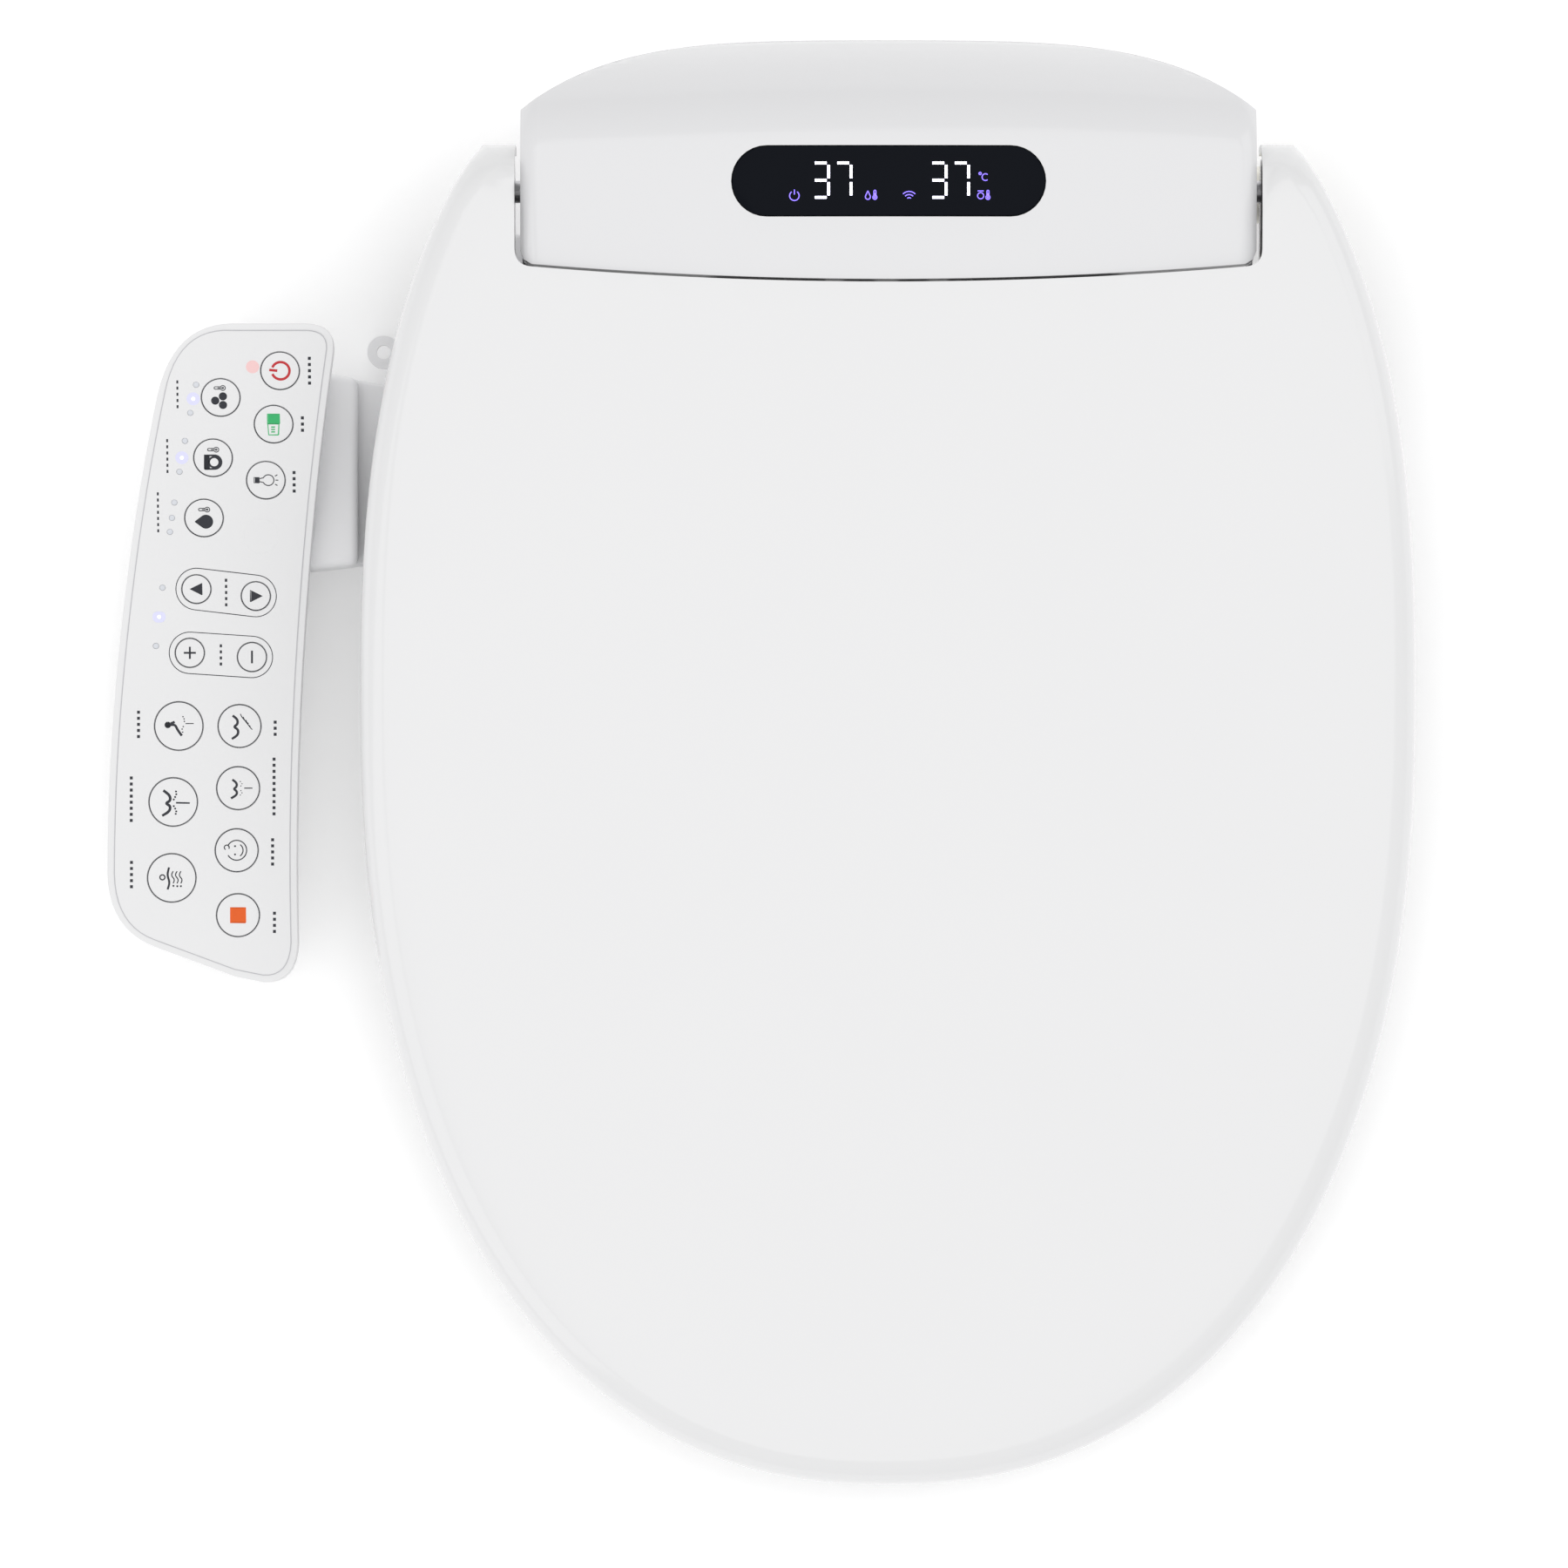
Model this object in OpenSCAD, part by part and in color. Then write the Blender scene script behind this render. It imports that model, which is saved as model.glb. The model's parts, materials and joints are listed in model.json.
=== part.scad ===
// Electric bidet seat: a heated seat and lid on a housing that holds the water heater,
// two spray nozzles and a warm-air dryer, with a side control panel on an arm.
// +Z is up, +Y is the rear, and the control panel is on -X, the sitter's right.
// The origin is midway between the two bowl fixing holes, on the underside.

/* [Lid and seat] */
// Greatest half width of the lid
lid_half_w = 189.5; // [170:0.5:210]
// Length of the lid from its widest line to the front tip
lid_front_len = 276.7; // [250:0.1:310]
// Wall of the lid
lid_wall = 3; // [2.4:0.1:4]
// Height of the lid's top at the front tip
lid_front_z = 56; // [50:1:70]
// Half width of the opening in the seat
seat_hole_w = 104; // [90:1:115]
// Half length of the opening in the seat
seat_hole_l = 150; // [130:1:160]
// Wall of the seat's shells
seat_wall = 3; // [2.4:0.1:4]
// Height of the seat's underside above the bowl
seat_under_z = 17; // [16:0.5:22]

/* [Housing] */
// Half width of the housing
body_half_w = 131.5; // [128:0.5:134]
// Distance from the fixing holes back to the rear edge
body_rear_y = 58; // [55:1:75]
// Wall of the housing
body_wall = 3; // [2.4:0.1:4]
// Height at which the top cover meets the base tray
split_z = 60; // [54:1:66]

/* [Hinge] */
// Height of the shared hinge axis
hinge_z = 66; // [62:1:70]
// Radius of each hinge pin
hinge_pin_r = 4; // [3:0.5:5]
// Gap between a pin and the hub that turns on it
hinge_fit = 0.05; // [0.02:0.01:0.09]

/* [Nozzles] */
// Radius of each spray nozzle
nozzle_r = 6; // [5:0.25:7]
// Distance that a nozzle slides out
nozzle_travel = 95; // [60:1:110]
// Slope of the nozzles below the horizontal
nozzle_tilt = 20; // [15:1:24]

/* [Control panel] */
// Height of the panel's front half
panel_z = 32; // [28:1:40]
// Slope of the panel's rear half
panel_tilt = 16; // [8:1:20]
// Thickness of the panel's case
panel_thick = 15; // [13:0.5:20]
// Travel of a key
key_travel = 0.6; // [0.4:0.1:1]
// Gap round a key
key_gap = 0.3; // [0.2:0.05:0.5]

/* [Mounting plate] */
// Distance between the two bowl fixing holes
fixing_spacing = 140; // [130:1:160]
// Half width of each fixing slot
slot_r = 4.5; // [3.5:0.25:6]
// End to end length of each fixing slot
slot_len = 38; // [20:1:50]

/* [Hidden] */
KEYS = ["power", "eco", "light", "dry_temp", "seat_temp", "water_temp", "position_up",
    "position_down", "flow_up", "flow_down", "bidet", "shower", "auto", "dry", "turbo",
    "child", "stop"];
$fn = 48;

// Plan of the lid: two superellipses that meet on its widest line
lid_mid_y = -185;
lid_rear_len = 268;
lid_front_n = 2.27;
lid_rear_n = 2.6;
ear_y = 19.6;              // rear end of the ears beside the housing
ring_n = 72;               // points round each ring of a shell
lid_rear_z = 114;          // lid's height where it meets the housing
lid_ref_y = -30;           // the line on which that height is taken
crown = 11;                // fall of the lid's top from centre to side
lid_edge_r = 9;            // rounding of the lid's rim
lid_skirt_z = 22;
bumper_r = 6;

// Hinge
hinge_y = 4;
hub_w = 7;
hub_r = 12;
side_gap = 2;              // between the housing's side and the ears
pin_in_x = body_half_w - 20;
seat_hub_x = body_half_w + side_gap + 0.7;
lid_hub_x = seat_hub_x + hub_w + 0.8;
pin_out_x = lid_hub_x + hub_w - 0.5;

// Housing
body_front_y = -62;
cover_front_y = -24;       // at the corners of the cover's front edge
cover_bow = 6;             // how far that edge bows forward at the centre
cover_notch = 1;           // seam between the cover and the lid
rear_bow = 27;             // how far the rear edge falls away at the sides
plate_h = 4;
pocket_z = 9;              // room for the heads of the fixing bolts
roof_z = 11.5;
plate_x = 100;
plate_y = 24;
screw_x = 110;
screw_y = 40;
inlet_y = 6;
inlet_z = 18;

// Seat
seat_inset = lid_wall + 3.5; // from the lid's outer face to the seat's rim
seat_front_y = lid_mid_y - lid_front_len + seat_inset;
seat_front_w = 46;         // width of the seat at its front
seat_mid_y = seat_front_y + seat_front_w + seat_hole_l;
seat_rear_y = -66;
seat_front_z = 37;
seat_rear_z = 50;

// Nozzles
tip_y = -58;
tip_z = 8;
nozzle_len = 112;
nozzle_x = 10;

// Panel
bend_y = -150;             // where the panel starts to rise
bend_s = 10;               // softness of that bend
panel_front_y = -262;
panel_rear_y = -43.2;
film_wall = 2;

// ---------- shapes shared by several pieces ----------

// A closed skin through rings of equal length, with a point at each end
module skin(rings, first, last) {
    n = len(rings[0]);
    m = len(rings);
    pts = concat([first], [for (r = rings) for (p = r) p], [last]);
    end = len(pts) - 1;
    polyhedron(pts, concat(
        [for (i = [0:n - 1]) [0, 1 + (i + 1) % n, 1 + i]],
        [for (k = [0:m - 2]) for (i = [0:n - 1]) let (j = (i + 1) % n)
            each [[1 + k * n + i, 1 + k * n + j, 1 + (k + 1) * n + j],
                  [1 + k * n + i, 1 + (k + 1) * n + j, 1 + (k + 1) * n + i]]],
        [for (i = [0:n - 1]) [end, 1 + (m - 1) * n + i, 1 + (m - 1) * n + (i + 1) % n]]),
        convexity = 6);
}

// A closed skin through rings that come back to the first one, like a tyre
module tyre_skin(rings) {
    n = len(rings[0]);
    m = len(rings);
    polyhedron([for (r = rings) for (p = r) p],
        [for (k = [0:m - 1]) for (i = [0:n - 1]) let (j = (i + 1) % n, l = (k + 1) % m)
            each [[k * n + i, k * n + j, l * n + j], [k * n + i, l * n + j, l * n + i]]],
        convexity = 6);
}

// A box from two corners
module block(a, b) translate(a) cube(b - a);

// A rod along X from one place to another
module rod_x(x0, x1, y, z, r) translate([x0, y, z]) rotate([0, 90, 0]) cylinder(r = r, h = x1 - x0);

// Points of a curve that rounds the corner c between a and b
function bend(a, c, b, n = 5) = [for (i = [0:n]) let (t = i / n)
    (1 - t) * (1 - t) * a + 2 * t * (1 - t) * c + t * t * b];

// Repeats what follows on both sides
module both_sides() { children(); mirror([1, 0, 0]) children(); }

// ---------- lid ----------

function power(v, n) = sign(v) * pow(abs(v), 2 / n);

// One point of the lid's plan, drawn in by an inset and shrunk by s about the middle
function plan(t, inset, s) = let (q = sin(t),
    x = (lid_half_w - inset) * power(cos(t), q < 0 ? lid_front_n : lid_rear_n),
    y = q < 0 ? (lid_front_len - inset) * power(q, lid_front_n)
              : (lid_rear_len - inset) * power(q, lid_rear_n))
    [s * x, lid_mid_y + s * y];

function lid_top(x, y) = lid_front_z
    + (lid_rear_z - lid_front_z) * (y - lid_mid_y + lid_front_len) / (lid_ref_y - lid_mid_y + lid_front_len)
    - (y > hinge_y ? pow(y - hinge_y, 2) / 14 : 0)
    - crown * pow(x / lid_half_w, 2) - 5 * pow(max(0, (lid_mid_y - y) / lid_front_len), 4);

// The skirt rises towards the ears
function skirt_z(y) = lid_skirt_z + 26 / (1 + exp(-(y + 40) / 9));

function lid_ring(inset, s, drop) = [for (i = [0:ring_n - 1]) let (
    p = plan(360 * i / ring_n, inset, s), y = min(p.y, ear_y - inset)) [p.x, y, lid_top(p.x, y) - drop]];

function skirt_ring(inset, lift) = [for (i = [0:ring_n - 1]) let (
    p = plan(360 * i / ring_n, inset, 1), y = min(p.y, ear_y - inset)) [p.x, y, skirt_z(y) + lift]];

// The notch that the housing's cover stands in, with rounded inner corners
notch_w = body_half_w + side_gap;
module notch(grow) linear_extrude(height = 300, center = true) polygon(concat(
    [[-notch_w, body_rear_y + 20]],
    bend([-notch_w, cover_edge(notch_w) - grow + 6], [-notch_w, cover_edge(notch_w) - grow],
        [-notch_w + 6, cover_edge(notch_w - 6) - grow]),
    [for (i = [-7:7]) let (x = i / 8 * notch_w) [x, cover_edge(x) - grow]],
    bend([notch_w - 6, cover_edge(notch_w - 6) - grow], [notch_w, cover_edge(notch_w) - grow],
        [notch_w, cover_edge(notch_w) - grow + 6]),
    [[notch_w, body_rear_y + 20]]));

module lid() color("white") {
    difference() {
        skin(concat(
            [for (s = [0.12, 0.3, 0.48, 0.64, 0.78, 0.9]) lid_ring(lid_edge_r, s, 0)],
            [for (a = [0:22.5:90]) lid_ring(lid_edge_r * (1 - sin(a)), 1, lid_edge_r * (1 - cos(a)))],
            [skirt_ring(0, 0), skirt_ring(lid_wall, 0)],
            [lid_ring(lid_wall, 1, lid_edge_r + 1)],
            [for (s = [0.97, 0.85, 0.7, 0.5, 0.3, 0.12]) lid_ring(lid_edge_r, s, lid_wall)]),
            [0, lid_mid_y, lid_top(0, lid_mid_y)], [0, lid_mid_y, lid_top(0, lid_mid_y) - lid_wall]);
        notch(cover_notch);
        // Room for the seat's arm when the lid is up
        both_sides() block([body_half_w, hinge_y + 4, 0], [lid_hub_x - 0.3, ear_y + 1, hinge_z + 4]);
    }
    both_sides() difference() {
        union() {
            rod_x(lid_hub_x, lid_hub_x + hub_w, hinge_y, hinge_z, hub_r);
            block([lid_hub_x, hinge_y - 9, hinge_z],
                [lid_hub_x + hub_w, hinge_y + 6, lid_top(lid_hub_x, hinge_y) - 2]);
        }
        rod_x(lid_hub_x - 1, lid_hub_x + hub_w + 1, hinge_y, hinge_z, hinge_pin_r + hinge_fit);
    }
}

module lid_bumpers() color("gainsboro")
    both_sides() for (p = [[lid_half_w - 84.5, -360], [lid_half_w - 117.5, -425]])
        let (z = lid_top(p.x, p.y) - lid_wall - 1, r = bumper_r,
            rise_y = lid_top(p.x, p.y + r) - lid_top(p.x, p.y - r),
            rise_x = lid_top(p.x + r, p.y) - lid_top(p.x - r, p.y))
            translate([p.x, p.y, z]) rotate([atan(rise_y / 2 / r), -atan(rise_x / 2 / r), 0])
                let (h = z - seat_top_z(p.y) - 1.4) translate([0, 0, -h]) cylinder(r = r, h = h);

// ---------- seat ----------

function seat_top_z(y) = seat_front_z + (seat_rear_z - seat_front_z)
    * (y - seat_front_y) / (seat_rear_y - seat_front_y);

// A point of the seat: w runs from the opening at 0 to the outer rim at 1
function seat_pt(t, inset, w) = let (q = sin(t),
    i = [(seat_hole_w + inset) * power(cos(t), 2.2), seat_mid_y + (seat_hole_l + inset) * power(q, 2.1)],
    p = plan(t, seat_inset + inset, 1), o = [p.x, min(p.y, seat_rear_y - inset)])
    i + w * (o - i);

function seat_ring(inset, w, drop) = [for (k = [0:ring_n - 1]) let (p = seat_pt(360 * k / ring_n, inset, w))
    [p.x, p.y, seat_top_z(p.y) - drop]];

// The same at one height, for a pair of inset and w
function seat_low(at, z) = [for (k = [0:ring_n - 1])
    let (p = seat_pt(360 * k / ring_n, at[0], at[1])) [p.x, p.y, z]];

seat_floor_z = seat_under_z + seat_wall;

module seat_top() color("whitesmoke") {
    tyre_skin([
        seat_low([0, 0], seat_floor_z), seat_ring(0, 0, 7), seat_ring(0, 0.06, 2.2), seat_ring(0, 0.2, 0.4),
        seat_ring(0, 0.5, 0), seat_ring(0, 0.8, 0.4), seat_ring(0, 0.95, 2.2), seat_ring(0, 1, 7),
        seat_low([0, 1], seat_floor_z), seat_low([seat_wall, 1], seat_floor_z),
        seat_ring(seat_wall, 1, 8), seat_ring(seat_wall, 0.9, 5), seat_ring(seat_wall, 0.5, seat_wall),
        seat_ring(seat_wall, 0.1, 5), seat_ring(seat_wall, 0, 8), seat_low([seat_wall, 0], seat_floor_z)]);
    // Hinge arms that reach back beside the housing
    both_sides() difference() {
        union() {
            rod_x(seat_hub_x, seat_hub_x + hub_w, hinge_y, hinge_z, hub_r);
            translate([seat_hub_x, 0, 0]) rotate([90, 0, 90]) linear_extrude(height = hub_w)
                polygon([[hinge_y, hinge_z + hub_r], [seat_rear_y - 6, seat_rear_z - 6],
                    [seat_rear_y - 6, seat_floor_z + 3], [seat_rear_y + 14, seat_floor_z + 3],
                    [hinge_y, hinge_z - hub_r]]);
        }
        rod_x(seat_hub_x - 1, seat_hub_x + hub_w + 1, hinge_y, hinge_z, hinge_pin_r + hinge_fit);
    }
}

module seat_bottom() color("whitesmoke") tyre_skin([
    seat_low([0.6, 0], seat_under_z), seat_low([0.6, 0], seat_floor_z),
    seat_low([0.6, 1], seat_floor_z), seat_low([0.6, 1], seat_under_z)]);

module seat_heater() color("peru") tyre_skin([
    seat_low([12, 0.25], seat_floor_z + 0.6), seat_low([12, 0.25], seat_floor_z + 2),
    seat_low([12, 0.75], seat_floor_z + 2), seat_low([12, 0.75], seat_floor_z + 0.6)]);

module seat_bumpers() color("lightgray") both_sides() for (p = [[140, -170], [112, -370]])
    translate([p.x, p.y, 0]) linear_extrude(height = seat_under_z)
        union() { square([16, 30], center = true); circle(r = 10); }

// ---------- housing ----------

// Front edge of the top cover
function cover_edge(x) = cover_front_y - cover_bow * (1 - pow(x / body_half_w, 2));

// Plan of the housing above the seat, drawn in by an inset
function cover_plan(i) = concat(
    [for (k = [-8:8]) let (x = k / 8 * (body_half_w - i - 4)) [x, cover_edge(x) + i]],
    [[body_half_w - i - 1.2, cover_front_y + i + 1.4], [body_half_w - i, cover_front_y + i + 4.5]],
    [for (k = [12:-1:-12]) let (x = k / 12 * (body_half_w - i))
        [x, body_rear_y - i - rear_bow * pow(k / 12, 4)]],
    [[-body_half_w + i, cover_front_y + i + 4.5], [-body_half_w + i + 1.2, cover_front_y + i + 1.4]]);

// Side view of the cover about the hinge axis, which the lid's edge has to sweep over:
// nearly flat on top, and rounded down to the rear wall
cover_line = [[-64, 44.1], [14, 52.2]];
cover_side = concat([[-64, -8]], cover_line,
    bend(cover_line[1], [38, 53], [54.5, 8], 7), [[54.5, -8]]);

// The side view shrinks towards the sides, as the lid's top falls, and rounds off there
function cover_share(x) = 1 - 0.126 * pow(x / body_half_w, 2)
    - 0.05 * pow(max(0, abs(x) - body_half_w + 6) / 6, 2);

module cover_solid(i) intersection() {
    translate([0, 0, split_z - min(i, 1)]) linear_extrude(height = 100) polygon(cover_plan(i));
    let (us = concat([-1, -0.98, -0.955], [for (k = [-9:9]) k / 10], [0.955, 0.98, 1]))
        skin([for (u = us) let (f = cover_share(u * body_half_w) - i / 52)
            [for (p = cover_side) [u * body_half_w, hinge_y + f * p.x, hinge_z + f * p.y]]],
            [-body_half_w, 0, split_z + 10], [body_half_w, 0, split_z + 10]);
}

// The display lies in a stadium-shaped window near the cover's front edge
display_w = 112;
display_d = 25;
display_y = 4.8;
display_z = hinge_z + 52;
module display_shape(i) translate([0, display_y]) {
    for (x = [-1, 1]) translate([x * (display_w - display_d) / 2, 0]) circle(r = display_d / 2 - i);
    square([display_w - display_d, display_d - 2 * i], center = true);
}

module top_cover() color("white") difference() {
    cover_solid(0);
    difference() {
        cover_solid(body_wall);
        for (x = [-1, 1]) translate([x * screw_x, screw_y, 0]) cylinder(r = 4, h = 200);
    }
    translate([0, 0, display_z - 9]) linear_extrude(height = 20) display_shape(0);
    for (x = [-1, 1]) translate([x * screw_x, screw_y, split_z - 1]) cylinder(r = 1.6, h = 12);
    side_pin_holes();
}

module side_pin_holes() both_sides()
    rod_x(body_half_w - 12, body_half_w + 1, hinge_y, hinge_z, hinge_pin_r + 0.15);

module display_lens() color([0.08, 0.09, 0.11]) intersection() {
    translate([0, 0, display_z - 4]) linear_extrude(height = 10) display_shape(0.15);
    difference() {
        cover_solid(0);
        cover_solid(2.2);
    }
}

module display_board() color("darkgreen")
    block([-50, -4, display_z - 8.2], [50, 14, display_z - 6.6]);

// Plan of the base tray
function tray_plan(i) = concat(
    [[-body_half_w + i, cover_front_y + i], [-70 + i, cover_front_y + i], [-60 + i, body_front_y + i],
     [80 - i, body_front_y + i], [90 - i, cover_front_y + i], [body_half_w - i, cover_front_y + i]],
    [for (k = [12:-1:-12]) let (x = k / 12 * (body_half_w - i))
        [x, body_rear_y - i - rear_bow * pow(k / 12, 4)]]);

module nozzle_lane(x, r) translate([x, tip_y, tip_z]) rotate([90 - nozzle_tilt, 0, 180])
    translate([0, 0, -30]) cylinder(r = r, h = 180);

apron_z = 40;
module base_tray() color("gainsboro") difference() {
    union() {
        difference() {
            linear_extrude(height = split_z) polygon(tray_plan(0));
            translate([0, 0, body_wall]) linear_extrude(height = split_z) polygon(tray_plan(body_wall));
            block([-100, -100, apron_z], [100, cover_front_y - cover_bow, split_z + 1]);
        }
        block([-plate_x - 3, -plate_y - 3, 0], [plate_x + 3, plate_y + 3, roof_z]);
        for (x = [-1, 1]) translate([x * screw_x, screw_y, 0]) cylinder(r = 4, h = split_z);
    }
    block([-plate_x - 0.3, -plate_y - 0.3, -1], [plate_x + 0.3, plate_y + 0.3, pocket_z]);
    block([-22.5, body_front_y - 1, -1], [22.5, -30, apron_z - 3]);
    block([28, body_front_y - 1, body_wall], [66, body_front_y + 8, 30]);
    for (x = [-1, 1]) translate([x * screw_x, screw_y, -1]) {
        cylinder(r = 3.2, h = 9.1);
        cylinder(r = 1.6, h = split_z + 2);
    }
    // Window for the night light
    block([69.8, body_front_y - 1, 11.8], [77.2, body_front_y + body_wall + 3.2, 20.2]);
    rod_x(body_half_w - 9, body_half_w + 1, inlet_y, inlet_z, 8.2);
    translate([-60, body_rear_y - 8, 22]) rotate([-90, 0, 0]) cylinder(r = 7.2, h = 12);
    block([body_half_w - 5, -14, 34], [body_half_w + 1, -2, 46]);
    side_pin_holes();
}

module mounting_plate() color("silver") difference() {
    block([-plate_x, -plate_y, 0], [plate_x, plate_y, plate_h]);
    both_sides() translate([fixing_spacing / 2, 0, -1]) {
        for (s = [-1, 1]) translate([s * (slot_len / 2 - slot_r), 0, 0])
            cylinder(r = slot_r, h = plate_h + 2);
        block([-slot_len / 2 + slot_r, -slot_r, 0], [slot_len / 2 - slot_r, slot_r, plate_h + 2]);
    }
}

module nozzle_guard() color("white") difference() {
    block([-22, body_front_y, 1], [22, body_front_y + 2, 30]);
    for (x = [-1, 1]) nozzle_lane(x * nozzle_x, nozzle_r + 1.5);
}

// A hollow nozzle with a domed tip and one spray hole on top
module nozzle(x) translate([x, tip_y, tip_z]) rotate([90 - nozzle_tilt, 0, 180]) difference() {
    union() {
        cylinder(r = nozzle_r, h = nozzle_len);
        sphere(r = nozzle_r - 0.2);
    }
    translate([0, 0, 4]) cylinder(r = nozzle_r - 1.6, h = nozzle_len);
    translate([0, 0, 8]) rotate([90, 0, 0]) cylinder(r = 1.2, h = 20);
}
module rear_nozzle() color("white") nozzle(-nozzle_x);
module front_nozzle() color("white") nozzle(nozzle_x);

// The cradle is a block with two bores that guide the nozzles
module nozzle_cradle() color("silver") difference() {
    translate([0, tip_y, tip_z]) rotate([90 - nozzle_tilt, 0, 180])
        translate([-19, -8.5, 40]) cube([38, 17, 60]);
    for (x = [-1, 1]) nozzle_lane(x * nozzle_x, nozzle_r + 0.3);
    block([-25, -60, 0], [25, 0, roof_z + 0.3]);
}

module nozzle_motors() color("dimgray") both_sides() {
    rod_x(23, 41, 14, 42, 10);
    rod_x(19.3, 23, 14, 42, 3);
}

// ---------- inside the housing ----------

module heater_tank() color("ghostwhite") union() {
    block([-92, -20, roof_z + 0.3], [-44, 30, 54]);
    rod_x(-44, -38, warm_y, warm_z, 4);
}

module water_pump() color("gray") union() {
    block([-124, -8, 16], [-96, 22, 44]);
    rod_x(-96, -92.3, 6, 30, 4);
}

module distributor_valve() color("darkgray") union() {
    translate([0, 50, 28]) rotate([90, 0, 0]) cylinder(r = 10, h = 8);
    rod_x(-18, -8, 46, 28, 3);
    rod_x(8, 18, 46, 28, 3);
}

module inlet_valve() color("slateblue") union() {
    block([86, 0, 14], [104, 12, 30]);
    translate([95, inlet_y, 29]) cylinder(r = 8, h = 16);
}

// Threaded inlet for a G 1/2 hose, on the housing's left side
inlet_r = 10.45;
module water_inlet() color("silver") difference() {
    union() {
        rod_x(body_half_w + 0.2, body_half_w + 13, inlet_y, inlet_z, inlet_r);
        rod_x(body_half_w - 8, body_half_w + 0.3, inlet_y, inlet_z, 8);
    }
    rod_x(body_half_w - 9, body_half_w + 14, inlet_y, inlet_z, 5.5);
}

module inlet_filter() color("lightblue") difference() {
    rod_x(104.3, body_half_w - 8.3, inlet_y, inlet_z, 7);
    rod_x(106.5, body_half_w - 7, inlet_y, inlet_z, 5);
}

// Dryer: a drum with a fan in it, and a duct to the opening beside the nozzles
fan_y = 2;
fan_z = 44;
module dryer_housing() color("silver") difference() {
    union() {
        rod_x(45, 71, fan_y, fan_z, 24);
        block([30, -52, 12], [64, -8, 29]);
        block([45, -34, 20], [64, -10, 40]);
    }
    rod_x(47, 68.5, fan_y, fan_z, 22);
    rod_x(44, 60, fan_y, fan_z, 9);
    block([32, -53, 14], [62, -10, 27]);
    block([47, -32, 22], [62, -8, 38]);
    rod_x(60, 80, fan_y, fan_z, 4);
    block([20, -30, -1], [100, 30, roof_z + 0.3]);
}

// Pin and two ears that the dryer's flap hangs on
module flap_pin() color("silver") union() {
    rod_x(29, 65, flap_y, flap_z, flap_pin_r);
    for (x = [29, 63]) block([x, flap_y - 2, flap_z - 3], [x + 2, -52.2, flap_z + 1.5]);
}

module fan_wheel() color("dimgray") difference() {
    union() {
        rod_x(65, 67, fan_y, fan_z, 19);
        rod_x(49, 67, fan_y, fan_z, 4);
        for (a = [0:30:330]) translate([49, fan_y, fan_z]) rotate([a, 0, 0])
            translate([0, -0.6, 12]) cube([17, 1.2, 6.5]);
    }
    rod_x(48, 68, fan_y, fan_z, 1.55);
}

module dryer_motor() color("dimgray") union() {
    rod_x(71.5, 84, fan_y, fan_z, 13);
    rod_x(49, 71.6, fan_y, fan_z, 1.5);
}

// Flap over the dryer's outlet, hung on its top edge
flap_y = body_front_y + 4;
flap_z = 26;
flap_pin_r = 1;
module dryer_flap() color("white") difference() {
    union() {
        block([32, flap_y - 1, 5], [62, flap_y + 1, flap_z - 2.5]);
        rod_x(32, 62, flap_y, flap_z, 2.2);
        block([32, flap_y - 1, flap_z - 3], [62, flap_y + 1, flap_z]);
    }
    rod_x(31, 64, flap_y, flap_z, flap_pin_r + hinge_fit);
}

module main_board() color("darkgreen") union() {
    block([-30, -22, 84], [60, 34, 85.6]);
    block([-10, -14, 85.6], [14, 8, 92]);
    for (y = [-12, 6, 24]) translate([42, y, 85.6]) cylinder(r = 5, h = 10);
}

module power_module() color("darkslategray") block([101, 16, 14], [122, 29, 31]);

// Rotary dampers that let the lid and the seat down slowly
module damper() color("dimgray") difference() {
    rod_x(pin_in_x - 26, pin_in_x + 8, hinge_y, hinge_z, 10);
    rod_x(pin_in_x - 0.2, pin_in_x + 9, hinge_y, hinge_z, hinge_pin_r);
}
module lid_damper() mirror([1, 0, 0]) damper();
module seat_damper() damper();

module hinge_pins() color("silver") both_sides()
    rod_x(pin_in_x, pin_out_x, hinge_y, hinge_z, hinge_pin_r);

module night_light_lens() color("lightcyan")
    block([70, body_front_y + 0.4, 12], [77, body_front_y + body_wall + 3, 20]);

module cord_gland() color("dimgray") difference() {
    union() {
        translate([-60, body_rear_y - body_wall - 3, 22]) rotate([-90, 0, 0]) cylinder(r = 7, h = body_wall + 3);
        translate([-60, body_rear_y - body_wall - 6.5, 22]) rotate([-90, 0, 0]) cylinder(r = 9, h = 4);
    }
    translate([-60, body_rear_y - 12, 22]) rotate([-90, 0, 0]) cylinder(r = 3.5, h = 20);
}

// The warm hose leaves the tank here, and turns to the rear below the nozzle motors
warm_x = -24;
cold_x = 95;
warm_y = 20;
warm_z = 26;

// An elbow fitting where a hose turns
module elbow(p, side = 9) translate(p - side / 2 * [1, 1, 1]) cube(side);

// The cold hose runs from the valve to the tank, and the warm one on to the distributor
module hose_set() color("whitesmoke") {
    translate([cold_x, 12.3, 18]) rotate([-90, 0, 0]) cylinder(r = 3, h = 35 - 12.3);
    elbow([cold_x, 35, 18]);
    rod_x(-84, cold_x, 35, 18, 3);
    elbow([-86, 35, 18]);
    translate([-86, 35, 20]) cylinder(r = 3, h = 20);
    elbow([-86, 35, 40]);
    rod_x(-37.6, warm_x, warm_y, warm_z, 2.5);
    elbow([warm_x, warm_y, warm_z], 7);
    translate([warm_x, warm_y, warm_z]) rotate([-90, 0, 0]) cylinder(r = 2.5, h = 46 - warm_y);
    elbow([warm_x, 46, 27], 8);
    rod_x(warm_x, -18.3, 46, 28, 2.5);
}

module cover_screws() color("silver") for (x = [-1, 1]) translate([x * screw_x, screw_y, 4])
    union() { cylinder(r = 1.5, h = split_z + 4); cylinder(r = 3, h = 3.9); }

// ---------- button and plug on the housing's sides ----------

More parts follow.
